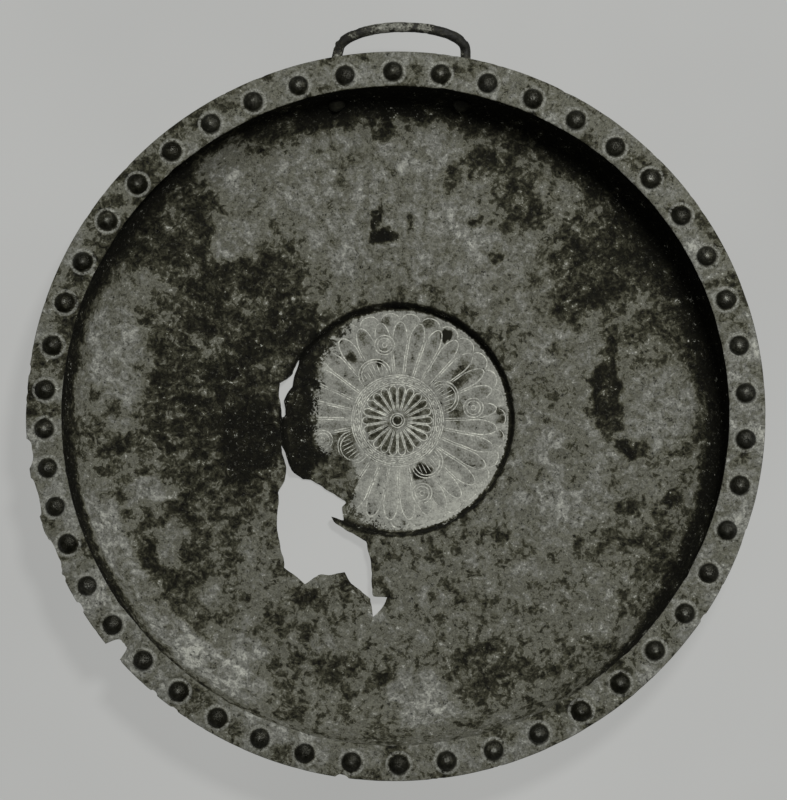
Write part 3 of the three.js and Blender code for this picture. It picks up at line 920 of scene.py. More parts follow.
@dataclass(frozen=True)
class Engraving:
    """The rosette, its ring of beads and the long petals round it, as shallow grooves."""

    form: Form
    patches: Patches
    width: float = 0.62
    depth: float = 0.15
    above: float = 0.05
    step: float = 1.0
    hub_circles: tuple[float, ...] = (2.2, 3.2)
    ring_circles: tuple[float, ...] = (16.2, 17.1, 19.6, 20.5)
    bead_circle: float = 18.35
    bead_count: int = 30
    roundel_circle: float = 34.5
    roundel_angles: tuple[float, ...] = (9.3, 99.6, 194.4, 288.7)
    roundel_radii: tuple[float, float] = (3.1, 4.4)
    fan_angles: tuple[float, ...] = (27, 116, 211, 305)
    fan_half_angle: float = 18.5
    fan_low: float = 21.4
    fan_high: float = 29.8
    hand: Grain = field(default=Grain(83), repr=False)

    def stem_angle(self, index: np.ndarray | float) -> np.ndarray:
        """Direction of a stem in degrees, with the engraver's drift."""
        even = PETAL_START + np.asarray(index, float) * 360 / PETALS
        return even + petal_drift(even)

    @staticmethod
    def polar(radius: np.ndarray, angle: np.ndarray) -> np.ndarray:
        """Points from radii and angles in degrees."""
        turn = np.radians(angle)
        return np.stack([radius * np.cos(turn), radius * np.sin(turn)], 1)

    def petal(
        self, middle: float, half: float, inner: float, shoulder: float, tip: float, gap: float
    ) -> np.ndarray:
        """A long petal, open at its inner end.

        Its sides keep a gap to the sector's edges, and its end is half an ellipse.

        Args:
            middle: direction of its axis, in degrees.
            half: half of its sector, in degrees.
            inner: radius where it starts.
            shoulder: radius where its end starts to round.
            tip: radius of its tip.
            gap: half of the space between it and its neighbour.
        """
        side = np.linspace(inner, shoulder, max(3, int((shoulder - inner) / 1.6)))
        across = side * math.tan(math.radians(half)) - gap
        bow = np.linspace(0, math.pi, 15)[1:-1]
        along = np.concatenate([side, shoulder + (tip - shoulder) * np.sin(bow), side[::-1]])
        width = np.concatenate([across, across[-1] * np.cos(bow), -across[::-1]])
        turn = math.radians(middle)
        cosine, sine = math.cos(turn), math.sin(turn)
        return np.stack([along * cosine - width * sine, along * sine + width * cosine], 1)

    def loop(self, x: float, y: float, length: float, width: float, turn: float = 0) -> np.ndarray:
        """A closed oval; its first point is repeated at its end."""
        count = max(12, int(TURN * (length + width) / 2 / 0.7))
        angle = np.linspace(0, TURN, count + 1)
        along, across, lean = length * np.cos(angle), width * np.sin(angle), math.radians(turn)
        cosine, sine = math.cos(lean), math.sin(lean)
        return np.stack([x + along * cosine - across * sine, y + along * sine + across * cosine], 1)

    def rosette(self) -> list[np.ndarray]:
        """The middle: hub, short petals, and two pairs of circles with a chain of beads between."""
        lines = [self.loop(0, 0, r, r) for r in (*self.hub_circles, *self.ring_circles)]
        half = 180 / SHORT_PETALS
        for index in range(SHORT_PETALS):
            lines.append(self.petal(2 * half * index, half, 4.6, 13.6, 15.7, 0.30))
        for index in range(self.bead_count):
            angle = index * 360 / self.bead_count
            x, y = self.polar(np.array([self.bead_circle]), np.array([angle]))[0]
            lines.append(self.loop(x, y, 1.45, 0.62, angle + 90))
        return lines

    def in_front(self, points: np.ndarray) -> np.ndarray:
        """True where a roundel or a fan covers the long petals."""
        radius = np.hypot(*points.T)
        angle = np.degrees(np.arctan2(points[:, 1], points[:, 0]))
        hidden = np.zeros(len(points), bool)
        for middle in self.roundel_angles:
            x, y = self.polar(np.array([self.roundel_circle]), np.array([middle]))[0]
            hidden |= np.hypot(points[:, 0] - x, points[:, 1] - y) < self.roundel_radii[1] + 0.5
        for middle in self.fan_angles:
            aside = ((angle - middle + 180) % 360 - 180) / self.fan_half_angle
            rise = np.sqrt(np.clip(1 - aside**2, 0, 1))
            reach = self.fan_low + 0.6 + (self.fan_high - self.fan_low) * rise
            hidden |= (np.abs(aside) < 1) & (radius < reach)
        return hidden

    def petals(self) -> list[np.ndarray]:
        """The long petals; two neighbours' sides make each double stem."""
        lines = []
        for index in range(PETALS):
            start, end = self.stem_angle(index), self.stem_angle(index + 1)
            middle, half = (start + end) / 2, (end - start) / 2
            line = self.resampled(self.petal(middle, half, 21.2, 36.5, 44.6, 0.45))
            lines += self.shown(line, ~self.in_front(line))
        return lines

    def tips(self) -> list[np.ndarray]:
        """What lies in front of and behind the petals: scallops, roundels and lotus fans."""
        lines = []
        for index in range(PETALS):
            middle = self.stem_angle(index)
            aside = np.linspace(-1, 1, 13)
            half = 180 / PETALS * 0.93
            radius = 44.9 + 3.4 * np.sqrt(1 - (aside * 0.985) ** 2)
            lines.append(self.polar(radius, middle + half * aside))
        for middle in self.roundel_angles:
            x, y = self.polar(np.array([self.roundel_circle]), np.array([middle]))[0]
            lines += [self.loop(x, y, r, r) for r in self.roundel_radii]
            lines += [self.loop(x, y, 1.1, 1.1)]
        for middle in self.fan_angles:
            aside = np.linspace(-1, 1, 31)
            rise = np.sqrt(1 - aside**2)
            for inset in (0.0, 1.1):
                radius = self.fan_low + (self.fan_high - self.fan_low - inset) * rise
                share = self.fan_half_angle * (1 - inset / 6)
                lines.append(self.polar(radius, middle + share * aside))
            for spoke in np.linspace(-0.62, 0.62, 6):
                reach = self.fan_low + (self.fan_high - self.fan_low) * math.sqrt(1 - spoke**2) - 2.0
                radius = np.linspace(self.fan_low + 0.8, reach, 6)
                lines.append(self.polar(radius, np.full(6, middle + self.fan_half_angle * spoke * 0.86)))
        return lines

    def resampled(self, line: np.ndarray) -> np.ndarray:
        """The line with evenly spaced points."""
        run = np.concatenate([[0], np.cumsum(np.hypot(*np.diff(line, axis=0).T))])
        at = np.linspace(0, run[-1], max(4, int(run[-1] / self.step) + 1))
        return np.stack([np.interp(at, run, line[:, k]) for k in (0, 1)], 1)

    @staticmethod
    def shown(line: np.ndarray, keep: np.ndarray) -> list[np.ndarray]:
        """The stretches of a line where keep is true, of four points or more."""
        edges = np.flatnonzero(np.diff(np.concatenate([[0], keep.astype(int), [0]])))
        return [line[a:b] for a, b in zip(edges[::2], edges[1::2]) if b - a >= 4]

    def groove(self, line: np.ndarray) -> Skin:
        """A cutter along a line: a kite section whose lower corner makes a V-shaped groove.

        The section's corners are the bottom, the two sides a little above the surface, and the top.
        It shrinks to a point at both ends, or closes on itself where the line does.
        """
        closed = np.hypot(*(line[0] - line[-1])) < 1e-6
        if closed:
            line = line[:-1]
        spot = np.c_[line, np.full(len(line), self.form.sheet)]
        wobble = [self.hand.layered(spot + shift, 7, 2) for shift in (0.0, 90.3, 171.9)]
        line = line + 0.10 * np.stack(wobble[:2], 1)
        if closed:
            heading = np.roll(line, -1, 0) - np.roll(line, 1, 0)
        else:
            heading = np.gradient(line, axis=0)
        heading /= np.hypot(*heading.T)[:, None]
        half = self.width / 2 * (1 + 0.2 * wobble[2])
        if not closed:
            count = np.arange(len(line))
            half = half * np.minimum(1, 0.35 + 0.4 * np.minimum(count, count[::-1]))
        aside = np.stack([heading[:, 1], -heading[:, 0]], 1) * half[:, None]
        plain = np.c_[line / (1 + self.form.oval, 1 - self.form.oval), np.full(len(line), self.form.sheet)]
        level = self.form.sheet + self.form.relief(plain)
        deep = self.depth * half / (self.width / 2)
        corners = [
            np.c_[line, level - deep], np.c_[line + aside, level + self.above],
            np.c_[line, level + 3 * self.above], np.c_[line - aside, level + self.above],
        ]
        grid = np.stack(corners, 1)
        if closed:
            return Skin.of_torus(grid).outwards()
        ends = [
            np.array([[*(line[k] + sign * 0.35 * heading[k]), level[k] + self.above]])
            for k, sign in ((0, -1), (-1, 1))
        ]
        return Skin.of_rings([ends[0], *grid, ends[1]]).outwards()

    def cutters(self) -> list[Skin]:
        """Three sets of grooves. The lines of a set keep clear of each other."""
        sets = []
        for lines in (self.rosette(), self.petals(), self.tips()):
            kept = []
            for line in lines:
                line = self.resampled(line)
                clean = self.patches.clean_disc(np.c_[line, np.zeros(len(line))]) > 0.5
                closed = np.hypot(*(line[0] - line[-1])) < 1e-6
                kept += [line] if clean.all() and closed else self.shown(line, clean)
            sets.append(Skin.joined(self.groove(line) for line in kept))
        return sets


# ---- The basin ------------------------------------------------------------------------------------

# Plan outlines of the break beside the foot: the opened crack along the foot's edge, and the lost
# piece of the floor with the split at its lower right and the torn tongue of the foot's wall.
BREAK_OUTLINES = (
    (
        (-43.9, 27.6), (-47.2, 21.5), (-49, 18.6), (-52.5, 16.6), (-52.8, 10.7), (-52.1, 5.4),
        (-51.7, 1.2), (-50.1, 2.3), (-50.5, 9), (-49, 12.1), (-47.2, 15.2), (-46.8, 18.3), (-45, 23.2),
    ),
    (
        (-51.9, -10.8), (-50.6, -16.9), (-49.6, -21.4), (-50.2, -27.6), (-52.9, -32.1), (-53.2, -42.3),
        (-53, -53), (-50.7, -61.3), (-50, -65.8), (-41, -73.5), (-34.2, -68.9), (-29.7, -69.6),
        (-23.3, -68.1), (-20.5, -73.1), (-11.6, -79.6), (-10.8, -88.4), (-5.7, -83.1), (-4.2, -79.3),
        (-10.7, -78.9), (-11.3, -70.3), (-12.4, -59.9), (-13.6, -54.6), (-19.9, -50.8), (-27.8, -45.9),
        (-29.3, -43.3), (-24, -45), (-24.8, -38.8), (-23, -36.5), (-28.5, -32.5), (-38.7, -26.5),
        (-42.6, -26.3), (-46.8, -22.9), (-50, -15.5),
    ),
)
# Cracks that do not go through: a path, a width, and the height of the crack's bottom.
CRACKS = (
    (((-51.3, 0.2), (-51.9, -4.5), (-51.8, -9.8)), 0.7, 6.1),
    (((-54, -2.6), (-57, -2.2), (-61, -3.1), (-66, -2.4)), 0.35, 6.4),
    (((-3.4, -79.3), (-1.5, -79.8), (0.8, -79.2)), 0.6, 6.4),
    (((-162.5, 31.0), (-160, 31.4), (-156.4, 31.0)), 0.5, 36.9),
    (((-162.5, 11.8), (-160, 11.3), (-157.6, 11.6)), 0.45, 36.9),
)
# Pale lines cut across two bosses beside the rim's cracks: a painted highlight where each boss is torn.
TORN_BOSS_HIGHLIGHTS = (
    (((-148.6, 31.4), (-147.8, 32.1), (-147.2, 31.3), (-145.6, 31.9)), 0.55, 37.7),
    (((-148.8, 11.5), (-147.6, 11.0), (-146.4, 11.6)), 0.5, 37.7),
)


@dataclass(frozen=True)
class Bosses:
    """The row of bosses on the rim, spaced as given."""

    form: Form
    count: int = 47
    circle: float = 152.8
    row_y: float = -0.95
    radius: float = 4.35
    height: float = 3.05
    # Number of a boss, and its direction in degrees anticlockwise from +X.
    marks: tuple[tuple[int, float], ...] = (
        (0, 3.4), (19, 153.3), (22, 175.6), (26, 201.6), (35, 270.8), (42, 325.2),
    )
    sides: int = 22
    seed: int = 5

    def centres(self) -> np.ndarray:
        """Middles of the bosses in plan.

        Direction = an even share of the gap between the marked bosses on either side.
        """
        closing = (self.count, 360 + self.marks[0][1])
        number, direction = zip(*self.marks, closing)
        angle = np.radians(np.interp(np.arange(self.count), number, direction))
        oval = self.form.oval
        even_row = self.circle * np.stack([np.cos(angle) * (1 + oval), np.sin(angle) * (1 - oval)], 1)
        return even_row + (0, self.row_y)

    def dome(self, x: float, y: float, grow: float, turn: float) -> Skin:
        """One boss: a hemisphere-like dome over a soft fillet, on a plug that reaches into the rim.

        Height = h sqrt(1 - (r / R)^2.2) inside, and a fillet 0.45 (1 - t)^2 outside.
        """
        share = np.array([1.0, 0.97, 0.9, 0.78, 0.6, 0.38, 0.16])
        radius = self.radius * grow * share
        height = self.height * grow * np.sqrt(1 - share**2.2)
        skirt = np.array([1.30, 1.18, 1.08, 1.02]) * self.radius * grow
        lift = np.array([-0.06, 0.05, 0.2, 0.5])
        profile = [(self.radius * 1.30, -1.0), *zip(skirt, lift), *zip(radius[1:], height[1:] + 0.1)]
        rings = [circle(0, -1.0, 1), *(circle(r, z, self.sides) for r, z in profile)]
        rings.append(circle(0, self.height * grow, 1))
        skin = Skin.of_rings(rings)
        lean = 1 + 0.05 * np.cos(np.arctan2(skin.points[:, 1], skin.points[:, 0]) - turn)
        points = skin.points * np.stack([lean, lean, np.ones_like(lean)], 1)
        return Skin(points + (x, y, self.form.rim_top), skin.faces).outwards()

    def domes(self) -> Skin:
        """All the bosses, each slightly different."""
        chance = np.random.default_rng(self.seed)
        return Skin.joined(
            self.dome(x, y, chance.uniform(0.97, 1.02), chance.uniform(0, TURN)) for x, y in self.centres()
        )

    def hollows(self) -> Skin:
        """The hollows that were punched up from below."""
        low = self.form.rim_top - self.form.rim_thickness - 1.2
        radius = self.radius - self.form.sheet
        height = self.height - self.form.sheet + self.form.rim_thickness
        skins = []
        for x, y in self.centres():
            rings = [circle(0, 0, 1), circle(radius, 0, 16), circle(radius, 1.2, 16)]
            rings += [circle(radius * math.cos(a), 1.2 + height * math.sin(a), 16) for a in (0.5, 1.0)]
            rings.append(circle(0, 1.2 + height, 1))
            skin = Skin.of_rings(rings).outwards()
            skins.append(Skin(skin.points + (x, y, low), skin.faces))
        return Skin.joined(skins)


@dataclass(frozen=True)
class Damage:
    """What the basin has lost: the break beside the foot, cracks, and pieces of the rim's edge."""

    form: Form
    bites: tuple[tuple[float, float, float], ...] = (
        (220.6, 9.4, 6.4), (186, 13, 2.2), (193.5, 17, 1.7), (203, 16, 1.8), (262, 5, 1.3),
        (229.6, 4, 1.0), (173, 5, 0.8), (212, 5, 1.1), (326, 4, 0.6), (341, 3, 0.5),
    )
    nibble: Grain = field(default=Grain(91), repr=False)
    cut_radius: float = 172.0
    cut_heights: tuple[float, float] = (30, 46)

    def hole(self) -> Skin:
        """The break, with a torn edge."""
        return Skin.joined(prism(ragged(line, 1.2, 0.36, 7), -5, 20) for line in BREAK_OUTLINES)

    @staticmethod
    def slots(lines: Sequence[tuple[Sequence[tuple[float, float]], float, float]]) -> Skin:
        """Narrow cutters from each line's bottom up past the surface."""
        return Skin.joined(prism(slot_outline(path, width), low, low + 8) for path, width, low in lines)

    def lost_edge(self) -> Skin:
        """A ring round the rim that cuts its edge back.

        Its inner radius is the rim's own, less small nibbles where noise runs high, less each bite's
        depth times sqrt(1 - t^3) across the bite's width.
        """
        count = 1500
        angle = np.arange(count) * TURN / count
        rim = self.form.rim_outer
        spot = np.stack([rim * np.cos(angle), rim * np.sin(angle), np.zeros(count)], 1)
        worn = smooth(-np.abs(np.degrees(angle) - 200), -48, -20)
        noise = self.nibble.layered(spot, 5, 3)
        lost = 0.7 * smooth(noise, 0.55 - 0.35 * worn, 1.3) + 0.5 * worn * smooth(noise, -0.2, 0.5) - 0.25
        for middle, width, depth in self.bites:
            aside = np.abs(np.degrees(angle) - middle) / np.degrees(width / 2 / rim)
            aside = aside * (1 + 0.14 * self.nibble.at(spot, 2.4))
            bite = depth * np.sqrt(np.clip(1 - aside**3, 0, 1)) * (1 + 0.16 * self.nibble.layered(spot, 3, 2))
            lost = np.maximum(lost, bite)
        inner = rim - lost
        outer = np.full(count, self.cut_radius)
        low, high = self.cut_heights
        corners = ((inner, low), (inner, high), (outer, high), (outer, low))
        grid = np.stack(
            [np.stack([r * np.cos(angle), r * np.sin(angle), np.full(count, z)], 1) for r, z in corners], 1
        )
        return Skin.of_torus(grid * (1 + self.form.oval, 1 - self.form.oval, 1)).outwards()


@dataclass(frozen=True)
class RivetPlace:
    """Where a rivet goes through the wall: the sheet's middle there, and three directions."""

    form: Form
    x: float
    wall_circle: float = 142.7

    @property
    def share(self) -> float:
        """How far up the wall's curve it is, from 0 to 1."""
        across = self.wall_circle - self.form.floor_radius
        return math.asin(across / (self.form.wall_radius - self.form.floor_radius)) * 2 / math.pi

    def directions(self) -> tuple[np.ndarray, np.ndarray, np.ndarray]:
        """Across the wall, up its slope, and out of it into the basin."""
        aside = self.x / self.wall_circle
        out = np.array([aside, math.sqrt(1 - aside * aside), 0])
        angle = self.share * math.pi / 2
        normal = -out * math.sin(angle) / (self.form.wall_radius - self.form.floor_radius)
        normal = normal + np.array([0, 0, math.cos(angle) / self.form.wall_height])
        normal /= np.linalg.norm(normal)
        slope = np.cross(np.cross([0, 0, 1.0], out), normal)
        return np.cross(slope, normal), slope, normal

    def centre(self) -> np.ndarray:
        """The middle of the sheet at the rivet."""
        radius, height = self.form.wall(np.array(self.share), self.form.sheet / 2)
        aside = self.x / self.wall_circle
        return np.array([radius * aside, radius * math.sqrt(1 - aside * aside), height])

    def placed(self, skin: Skin) -> Skin:
        """A skin in the rivet's own axes (across, up the slope, along the rivet), put in place."""
        return Skin(skin.points @ np.array(self.directions()) + self.centre(), skin.faces)

    def bore(self, radius: float, low: float, high: float) -> Skin:
        """A round cutter along the rivet."""
        rings = [circle(0, low, 1), circle(radius, low, 24), circle(radius, high, 24), circle(0, high, 1)]
        return self.placed(Skin.of_rings(rings)).outwards()


@dataclass
class Workshop:
    """Cuts and joins meshes."""

    def worked(
        self, target: bpy.types.Object, tool: Skin, finish: bpy.types.Material, operation: str
    ) -> None:
        """Joins a skin to an object or cuts it away. New faces take the tool's finish."""
        cutter = tool.mesh("tool", finish)
        before = len(target.data.polygons)
        step = target.modifiers.new("step", "BOOLEAN")
        step.operation = operation
        step.solver = "MANIFOLD"
        step.material_mode = "TRANSFER"
        step.object = cutter
        graph = bpy.context.evaluated_depsgraph_get()
        made = bpy.data.meshes.new_from_object(target.evaluated_get(graph))
        target.modifiers.remove(step)
        old, name = target.data, target.data.name
        target.data = made
        bpy.data.meshes.remove(old)
        made.name = name
        used = cutter.data
        bpy.data.objects.remove(cutter)
        bpy.data.meshes.remove(used)
        LOG.info("%s %s: %d faces, then %d", target.name, operation, before, len(made.polygons))
        if len(made.polygons) == before:
            raise RuntimeError(f"{target.name}: {operation} changed nothing")

    @staticmethod
    def kept_whole(obj: bpy.types.Object) -> None:
        """Drops the slivers that the cuts left loose: all but the largest connected piece.

        Every point starts with its own number; the lowest number spreads along the edges.
        """
        data = obj.data
        edges = np.empty(len(data.edges) * 2, int)
        data.edges.foreach_get("vertices", edges)
        start, end = edges.reshape(-1, 2).T
        label, before = np.arange(len(data.vertices)), None
        while before is None or (label != before).any():
            before, lowest = label, label.copy()
            for here, there in ((start, end), (end, start)):
                np.minimum.at(lowest, here, label[there])
            label = lowest[lowest]
        loose = np.flatnonzero(label != np.bincount(label).argmax())
        if len(loose):
            shape = bmesh.new()
            shape.from_mesh(data)
            shape.verts.ensure_lookup_table()
            bmesh.ops.delete(shape, geom=[shape.verts[k] for k in loose], context="VERTS")
            shape.to_mesh(data)
            shape.free()

    @staticmethod
    def finished(obj: bpy.types.Object, angle: float) -> None:
        """Triangulates, then shades smooth with edges sharper than an angle kept."""
        step = obj.modifiers.new("triangles", "TRIANGULATE")
        graph = bpy.context.evaluated_depsgraph_get()
        made = bpy.data.meshes.new_from_object(obj.evaluated_get(graph))
        obj.modifiers.remove(step)
        old, name = obj.data, obj.data.name
        obj.data = made
        bpy.data.meshes.remove(old)
        made.name = name
        made.shade_smooth()
        made.set_sharp_from_angle(angle=math.radians(angle))


@dataclass
class Basin:
    """The sheet-bronze basin itself."""

    form: Form
    workshop: Workshop
    places: Sequence[RivetPlace]
    bore: float = 2.3

    def build(self) -> bpy.types.Object:
        """Makes the basin, with its bosses, engraving and damage."""
        patina, below = BasinPatinaAndPaintedLight().build(), UNDERSIDE.build()
        broken, engraved = BROKEN_EDGE.build(), ENGRAVED_LINE.build()
        bosses, damage = Bosses(self.form), Damage(self.form)
        basin = Skin.of_rings(self.form.rings()).mesh("hammered_basin", patina)
        basin.data.materials.append(below)
        rings = self.form.upper_side() + self.form.rim()
        top_points = sum(count for _, _, count in rings) - 3 * 544
        first = np.empty(len(basin.data.polygons) * 3, int)
        basin.data.polygons.foreach_get("vertices", first)
        lower = (first.reshape(-1, 3).max(1) >= top_points).astype(np.int32)
        basin.data.polygons.foreach_set("material_index", lower)
        work = self.workshop.worked
        work(basin, bosses.domes(), patina, "UNION")
        work(basin, bosses.hollows(), below, "DIFFERENCE")
        for place in self.places:
            work(basin, place.bore(self.bore, -2.4, 2.4), broken, "DIFFERENCE")
        work(basin, damage.lost_edge(), broken, "DIFFERENCE")
        work(basin, damage.hole(), broken, "DIFFERENCE")
        work(basin, damage.slots(CRACKS), CRACK_SHADE.build(), "DIFFERENCE")
        # Painted highlight: pale lines across two torn bosses, in the engraving's pale finish.
        work(basin, damage.slots(TORN_BOSS_HIGHLIGHTS), engraved, "DIFFERENCE")
        patches = Patches(self.form)
        for grooves in Engraving(self.form, patches).cutters():
            work(basin, grooves, engraved, "DIFFERENCE")
        self.workshop.kept_whole(basin)
        self.workshop.finished(basin, 36)
        patches.lay(basin.data, bosses.centres())
        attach(basin, "root")
        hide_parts("dish")
        return basin


# ---- Rivets and handle ----------------------------------------------------------------------------


@dataclass
class Rivet:
    """One rivet: a hammered head inside the basin, a shank, and a flattened tail on the lug."""

    form: Form
    place: RivetPlace
    side: str
    seed: int
    shank: float = 1.95
    head: float = 4.05
    head_height: float = 2.5
    tail: float = 3.45
    tail_height: float = 1.3
    lug: float = 2.0
    turns: int = 48

    def build(self, finish: bpy.types.Material) -> bpy.types.Object:
        """Makes the rivet as one closed turned skin, with an uneven hammered head and tail."""
        seat = self.form.sheet / 2 + self.form.gap
        tail_top = -(seat + self.lug + self.form.gap)
        tail_low = tail_top - self.tail_height
        bow = np.linspace(0, math.pi / 2, 10)
        profile = [(self.tail * s, tail_low + 0.16 * self.tail_height * s**4) for s in (0.3, 0.6, 0.85)]
        profile += [(self.tail, tail_low + 0.45), (self.tail, tail_top - 0.12), (self.tail - 0.15, tail_top)]
        profile += [(self.shank, z) for z in np.linspace(tail_top, seat + 0.25, 6)]
        profile += [(r, seat + 0.25) for r in (self.head * 0.75, self.head - 0.12)]
        crown = self.head_height - 0.4
        profile += [(self.head * math.cos(a), seat + 0.4 + crown * math.sin(a)) for a in bow[:-1]]
        rings = [circle(0, tail_low, 1), *(circle(r, z, self.turns) for r, z in profile)]
        rings.append(circle(0, seat + self.head_height, 1))
        skin = Skin.of_rings(rings)
        points = skin.points
        rise = smooth(points[:, 2], 0.6, 1.0)
        beat = Grain(self.seed).layered(points, 2.6, 2)
        plan = 1 - 0.045 * (1 + np.cos(3 * np.arctan2(points[:, 1], points[:, 0]) + self.seed))
        points = points * np.stack([plan, plan, np.ones_like(plan)], 1)
        curve = points[:, 1] ** 2 / 52 * rise
        beaten = np.where(np.abs(points[:, 2]) > 1.2, 0.10 * beat, 0) * np.sign(points[:, 2])
        points[:, 2] += curve + beaten - 0.1 * rise
        obj = self.place.placed(Skin(points, skin.faces)).outwards().mesh(f"domed_rivet_{self.side}", finish)
        Workshop.finished(obj, 50)
        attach(obj, "root")
        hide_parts(f"rivet_{self.side}")
        return obj


@dataclass
class Handle:
    """The loop handle: a hammered rod whose flattened ends lie on the wall under the rim."""

    form: Form
    workshop: Workshop
    places: Sequence[RivetPlace]
    rod_radius: float = 2.24
    centre_x: float = 3.0
    half_width: float = 28.3
    start_y: float = 162.5
    reach: float = 9.8
    squareness: float = 2.05
    low: float = 27.0
    high: float = 31.0
    root: tuple[float, float] = (4.5, -2.6)
    bend: tuple[float, float] = (4.6, 4.0)
    lug_thickness: float = 1.9
    lug_half_width: float = 5.1
    lug_taper: float = 0.7
    lug_run: float = 8.0
    rings: int = 190
    sides: int = 28
    beat: Grain = field(default=Grain(131), repr=False)

    def knots(self) -> np.ndarray:
        """Points of the rod's centreline: up off each lug, out under the rim, and round the loop.

        The loop is half a superellipse |x|^n + |y|^n = 1, which rises as it reaches out.
        """
        starts = []
        for place in self.places:
            _, slope, normal = place.directions()
            root = place.centre() + slope * self.root[0] + normal * self.root[1]
            starts.append(np.stack([root, root + (0, *self.bend)]))
        angle = np.linspace(math.pi, 0, 13)
        power = 2 / self.squareness
        across = np.sign(np.cos(angle)) * np.abs(np.cos(angle)) ** power
        out = np.clip(np.sin(angle), 0, 1) ** power
        loop = np.stack(
            [
                self.centre_x + self.half_width * across,
                self.start_y + self.reach * out,
                self.low + (self.high - self.low) * out,
            ],
            1,
        )
        return np.concatenate([starts[0], loop, starts[1][::-1]])

    def centreline(self) -> np.ndarray:
        """A smooth curve through the knots: centripetal Catmull-Rom, sampled evenly along it."""
        knots = self.knots()
        ends = (2 * knots[0] - knots[1], 2 * knots[-1] - knots[-2])
        p = np.concatenate([ends[:1], knots, ends[1:]])
        t = np.concatenate([[0], np.cumsum(np.linalg.norm(np.diff(p, axis=0), axis=1) ** 0.5)])
        fine = []
        for k in range(1, len(p) - 2):
            u = np.linspace(t[k], t[k + 1], 40, endpoint=False)[:, None]
            near = [
                (t[k + j + 1] - u) / (t[k + j + 1] - t[k + j]) * p[k + j]
                + (u - t[k + j]) / (t[k + j + 1] - t[k + j]) * p[k + j + 1]
                for j in (-1, 0, 1)
            ]
            pair = [
                (t[k + j + 1] - u) / (t[k + j + 1] - t[k + j - 1]) * near[j]
                + (u - t[k + j - 1]) / (t[k + j + 1] - t[k + j - 1]) * near[j + 1]
                for j in (0, 1)
            ]
            step = t[k + 1] - t[k]
            fine.append((t[k + 1] - u) / step * pair[0] + (u - t[k]) / step * pair[1])
        curve = np.concatenate([*fine, knots[-1:]])
        run = np.concatenate([[0], np.cumsum(np.linalg.norm(np.diff(curve, axis=0), axis=1))])
        at = np.linspace(0, run[-1], self.rings)
        return np.stack([np.interp(at, run, curve[:, k]) for k in range(3)], 1)

    def rod(self) -> Skin:
        """The rod: a round section with worn flats, carried along the centreline."""
        line = self.centreline()
        heading = np.gradient(line, axis=0)
        heading /= np.linalg.norm(heading, axis=1)[:, None]
        aside = np.cross(heading, (0, 0, 1.0))
        aside /= np.linalg.norm(aside, axis=1)[:, None]
        up = np.cross(aside, heading)
        angle = np.arange(self.sides) * TURN / self.sides
        spokes = aside[:, None] * np.cos(angle)[None, :, None] + up[:, None] * np.sin(angle)[None, :, None]
        plain = line[:, None] + spokes * self.rod_radius
        flat = plain.reshape(-1, 3)
        uneven = 0.10 * self.beat.at(flat, 8) + 0.10 * self.beat.layered(flat + 50, 2.2, 3)
        uneven -= 0.42 * smooth(self.beat.at(flat + 80, 2.4), 0.35, 0.8)
        uneven = np.minimum(uneven, 0.09)
        grid = line[:, None] + spokes * (self.rod_radius + uneven.reshape(len(line), -1, 1))
        return Skin.of_rings([line[:1], *grid, line[-1:]]).outwards()

    def lug(self, place: RivetPlace) -> Skin:
        """A lug: a plate with a round lower end that follows the outside of the wall.

        A point at (across, up the slope) lies on the wall's ellipse, turned about the axis by
        across / radius and moved along the curve by its share of the quarter's length.
        """
        turn = np.linspace(math.pi, TURN, 17)
        low = np.stack([np.cos(turn), np.sin(turn)], 1) * self.lug_half_width
        rise = np.linspace(0, 1, 7)[1:, None]
        side = np.concatenate([1 - (1 - self.lug_taper) * rise, rise * self.lug_run / self.lug_half_width], 1)
        right = side * self.lug_half_width
        across = np.linspace(1, -1, 7)[1:-1] * self.lug_half_width * self.lug_taper
        top = np.stack([across, np.full(5, self.lug_run)], 1)
        outline = np.concatenate([low, right, top, (right * (-1, 1))[::-1]])
        middle = np.array([0, 1.2])
        near, far = self.form.sheet + self.form.gap, self.form.sheet + self.form.gap + self.lug_thickness
        layers = [(s, near) for s in (0.35, 0.7, 0.93)] + [(0.985, near + 0.12), (1.0, near + 0.4)]
        layers += [(1.0, far - 0.5), (0.975, far - 0.15), (0.92, far), (0.7, far), (0.35, far)]
        stack = [np.c_[middle + (outline - middle) * s, np.full(len(outline), z)] for s, z in layers]
        stack = [np.array([[*middle, near]]), *stack, np.array([[*middle, far]])]
        return Skin.of_rings([self.on_wall(place, ring) for ring in stack]).outwards()

    def on_wall(self, place: RivetPlace, local: np.ndarray) -> np.ndarray:
        """Points (across, up the slope, outside the inner face) put on the wall beside a rivet."""
        angle = place.share * math.pi / 2
        a, b = self.form.wall_radius - self.form.floor_radius, self.form.wall_height
        speed = math.hypot(a * math.cos(angle), b * math.sin(angle)) * math.pi / 2
        share = place.share + local[:, 1] / speed
        section = self.form.wall(share, local[:, 2] + 0.06 * self.beat.at(local, 5))
        across = math.asin(place.x / place.wall_circle) + local[:, 0] / place.wall_circle
        oval = (1 + self.form.oval, 1 - self.form.oval)
        radius, height = section[:, 0], section[:, 1]
        return np.stack([radius * np.sin(across) * oval[0], radius * np.cos(across) * oval[1], height], 1)

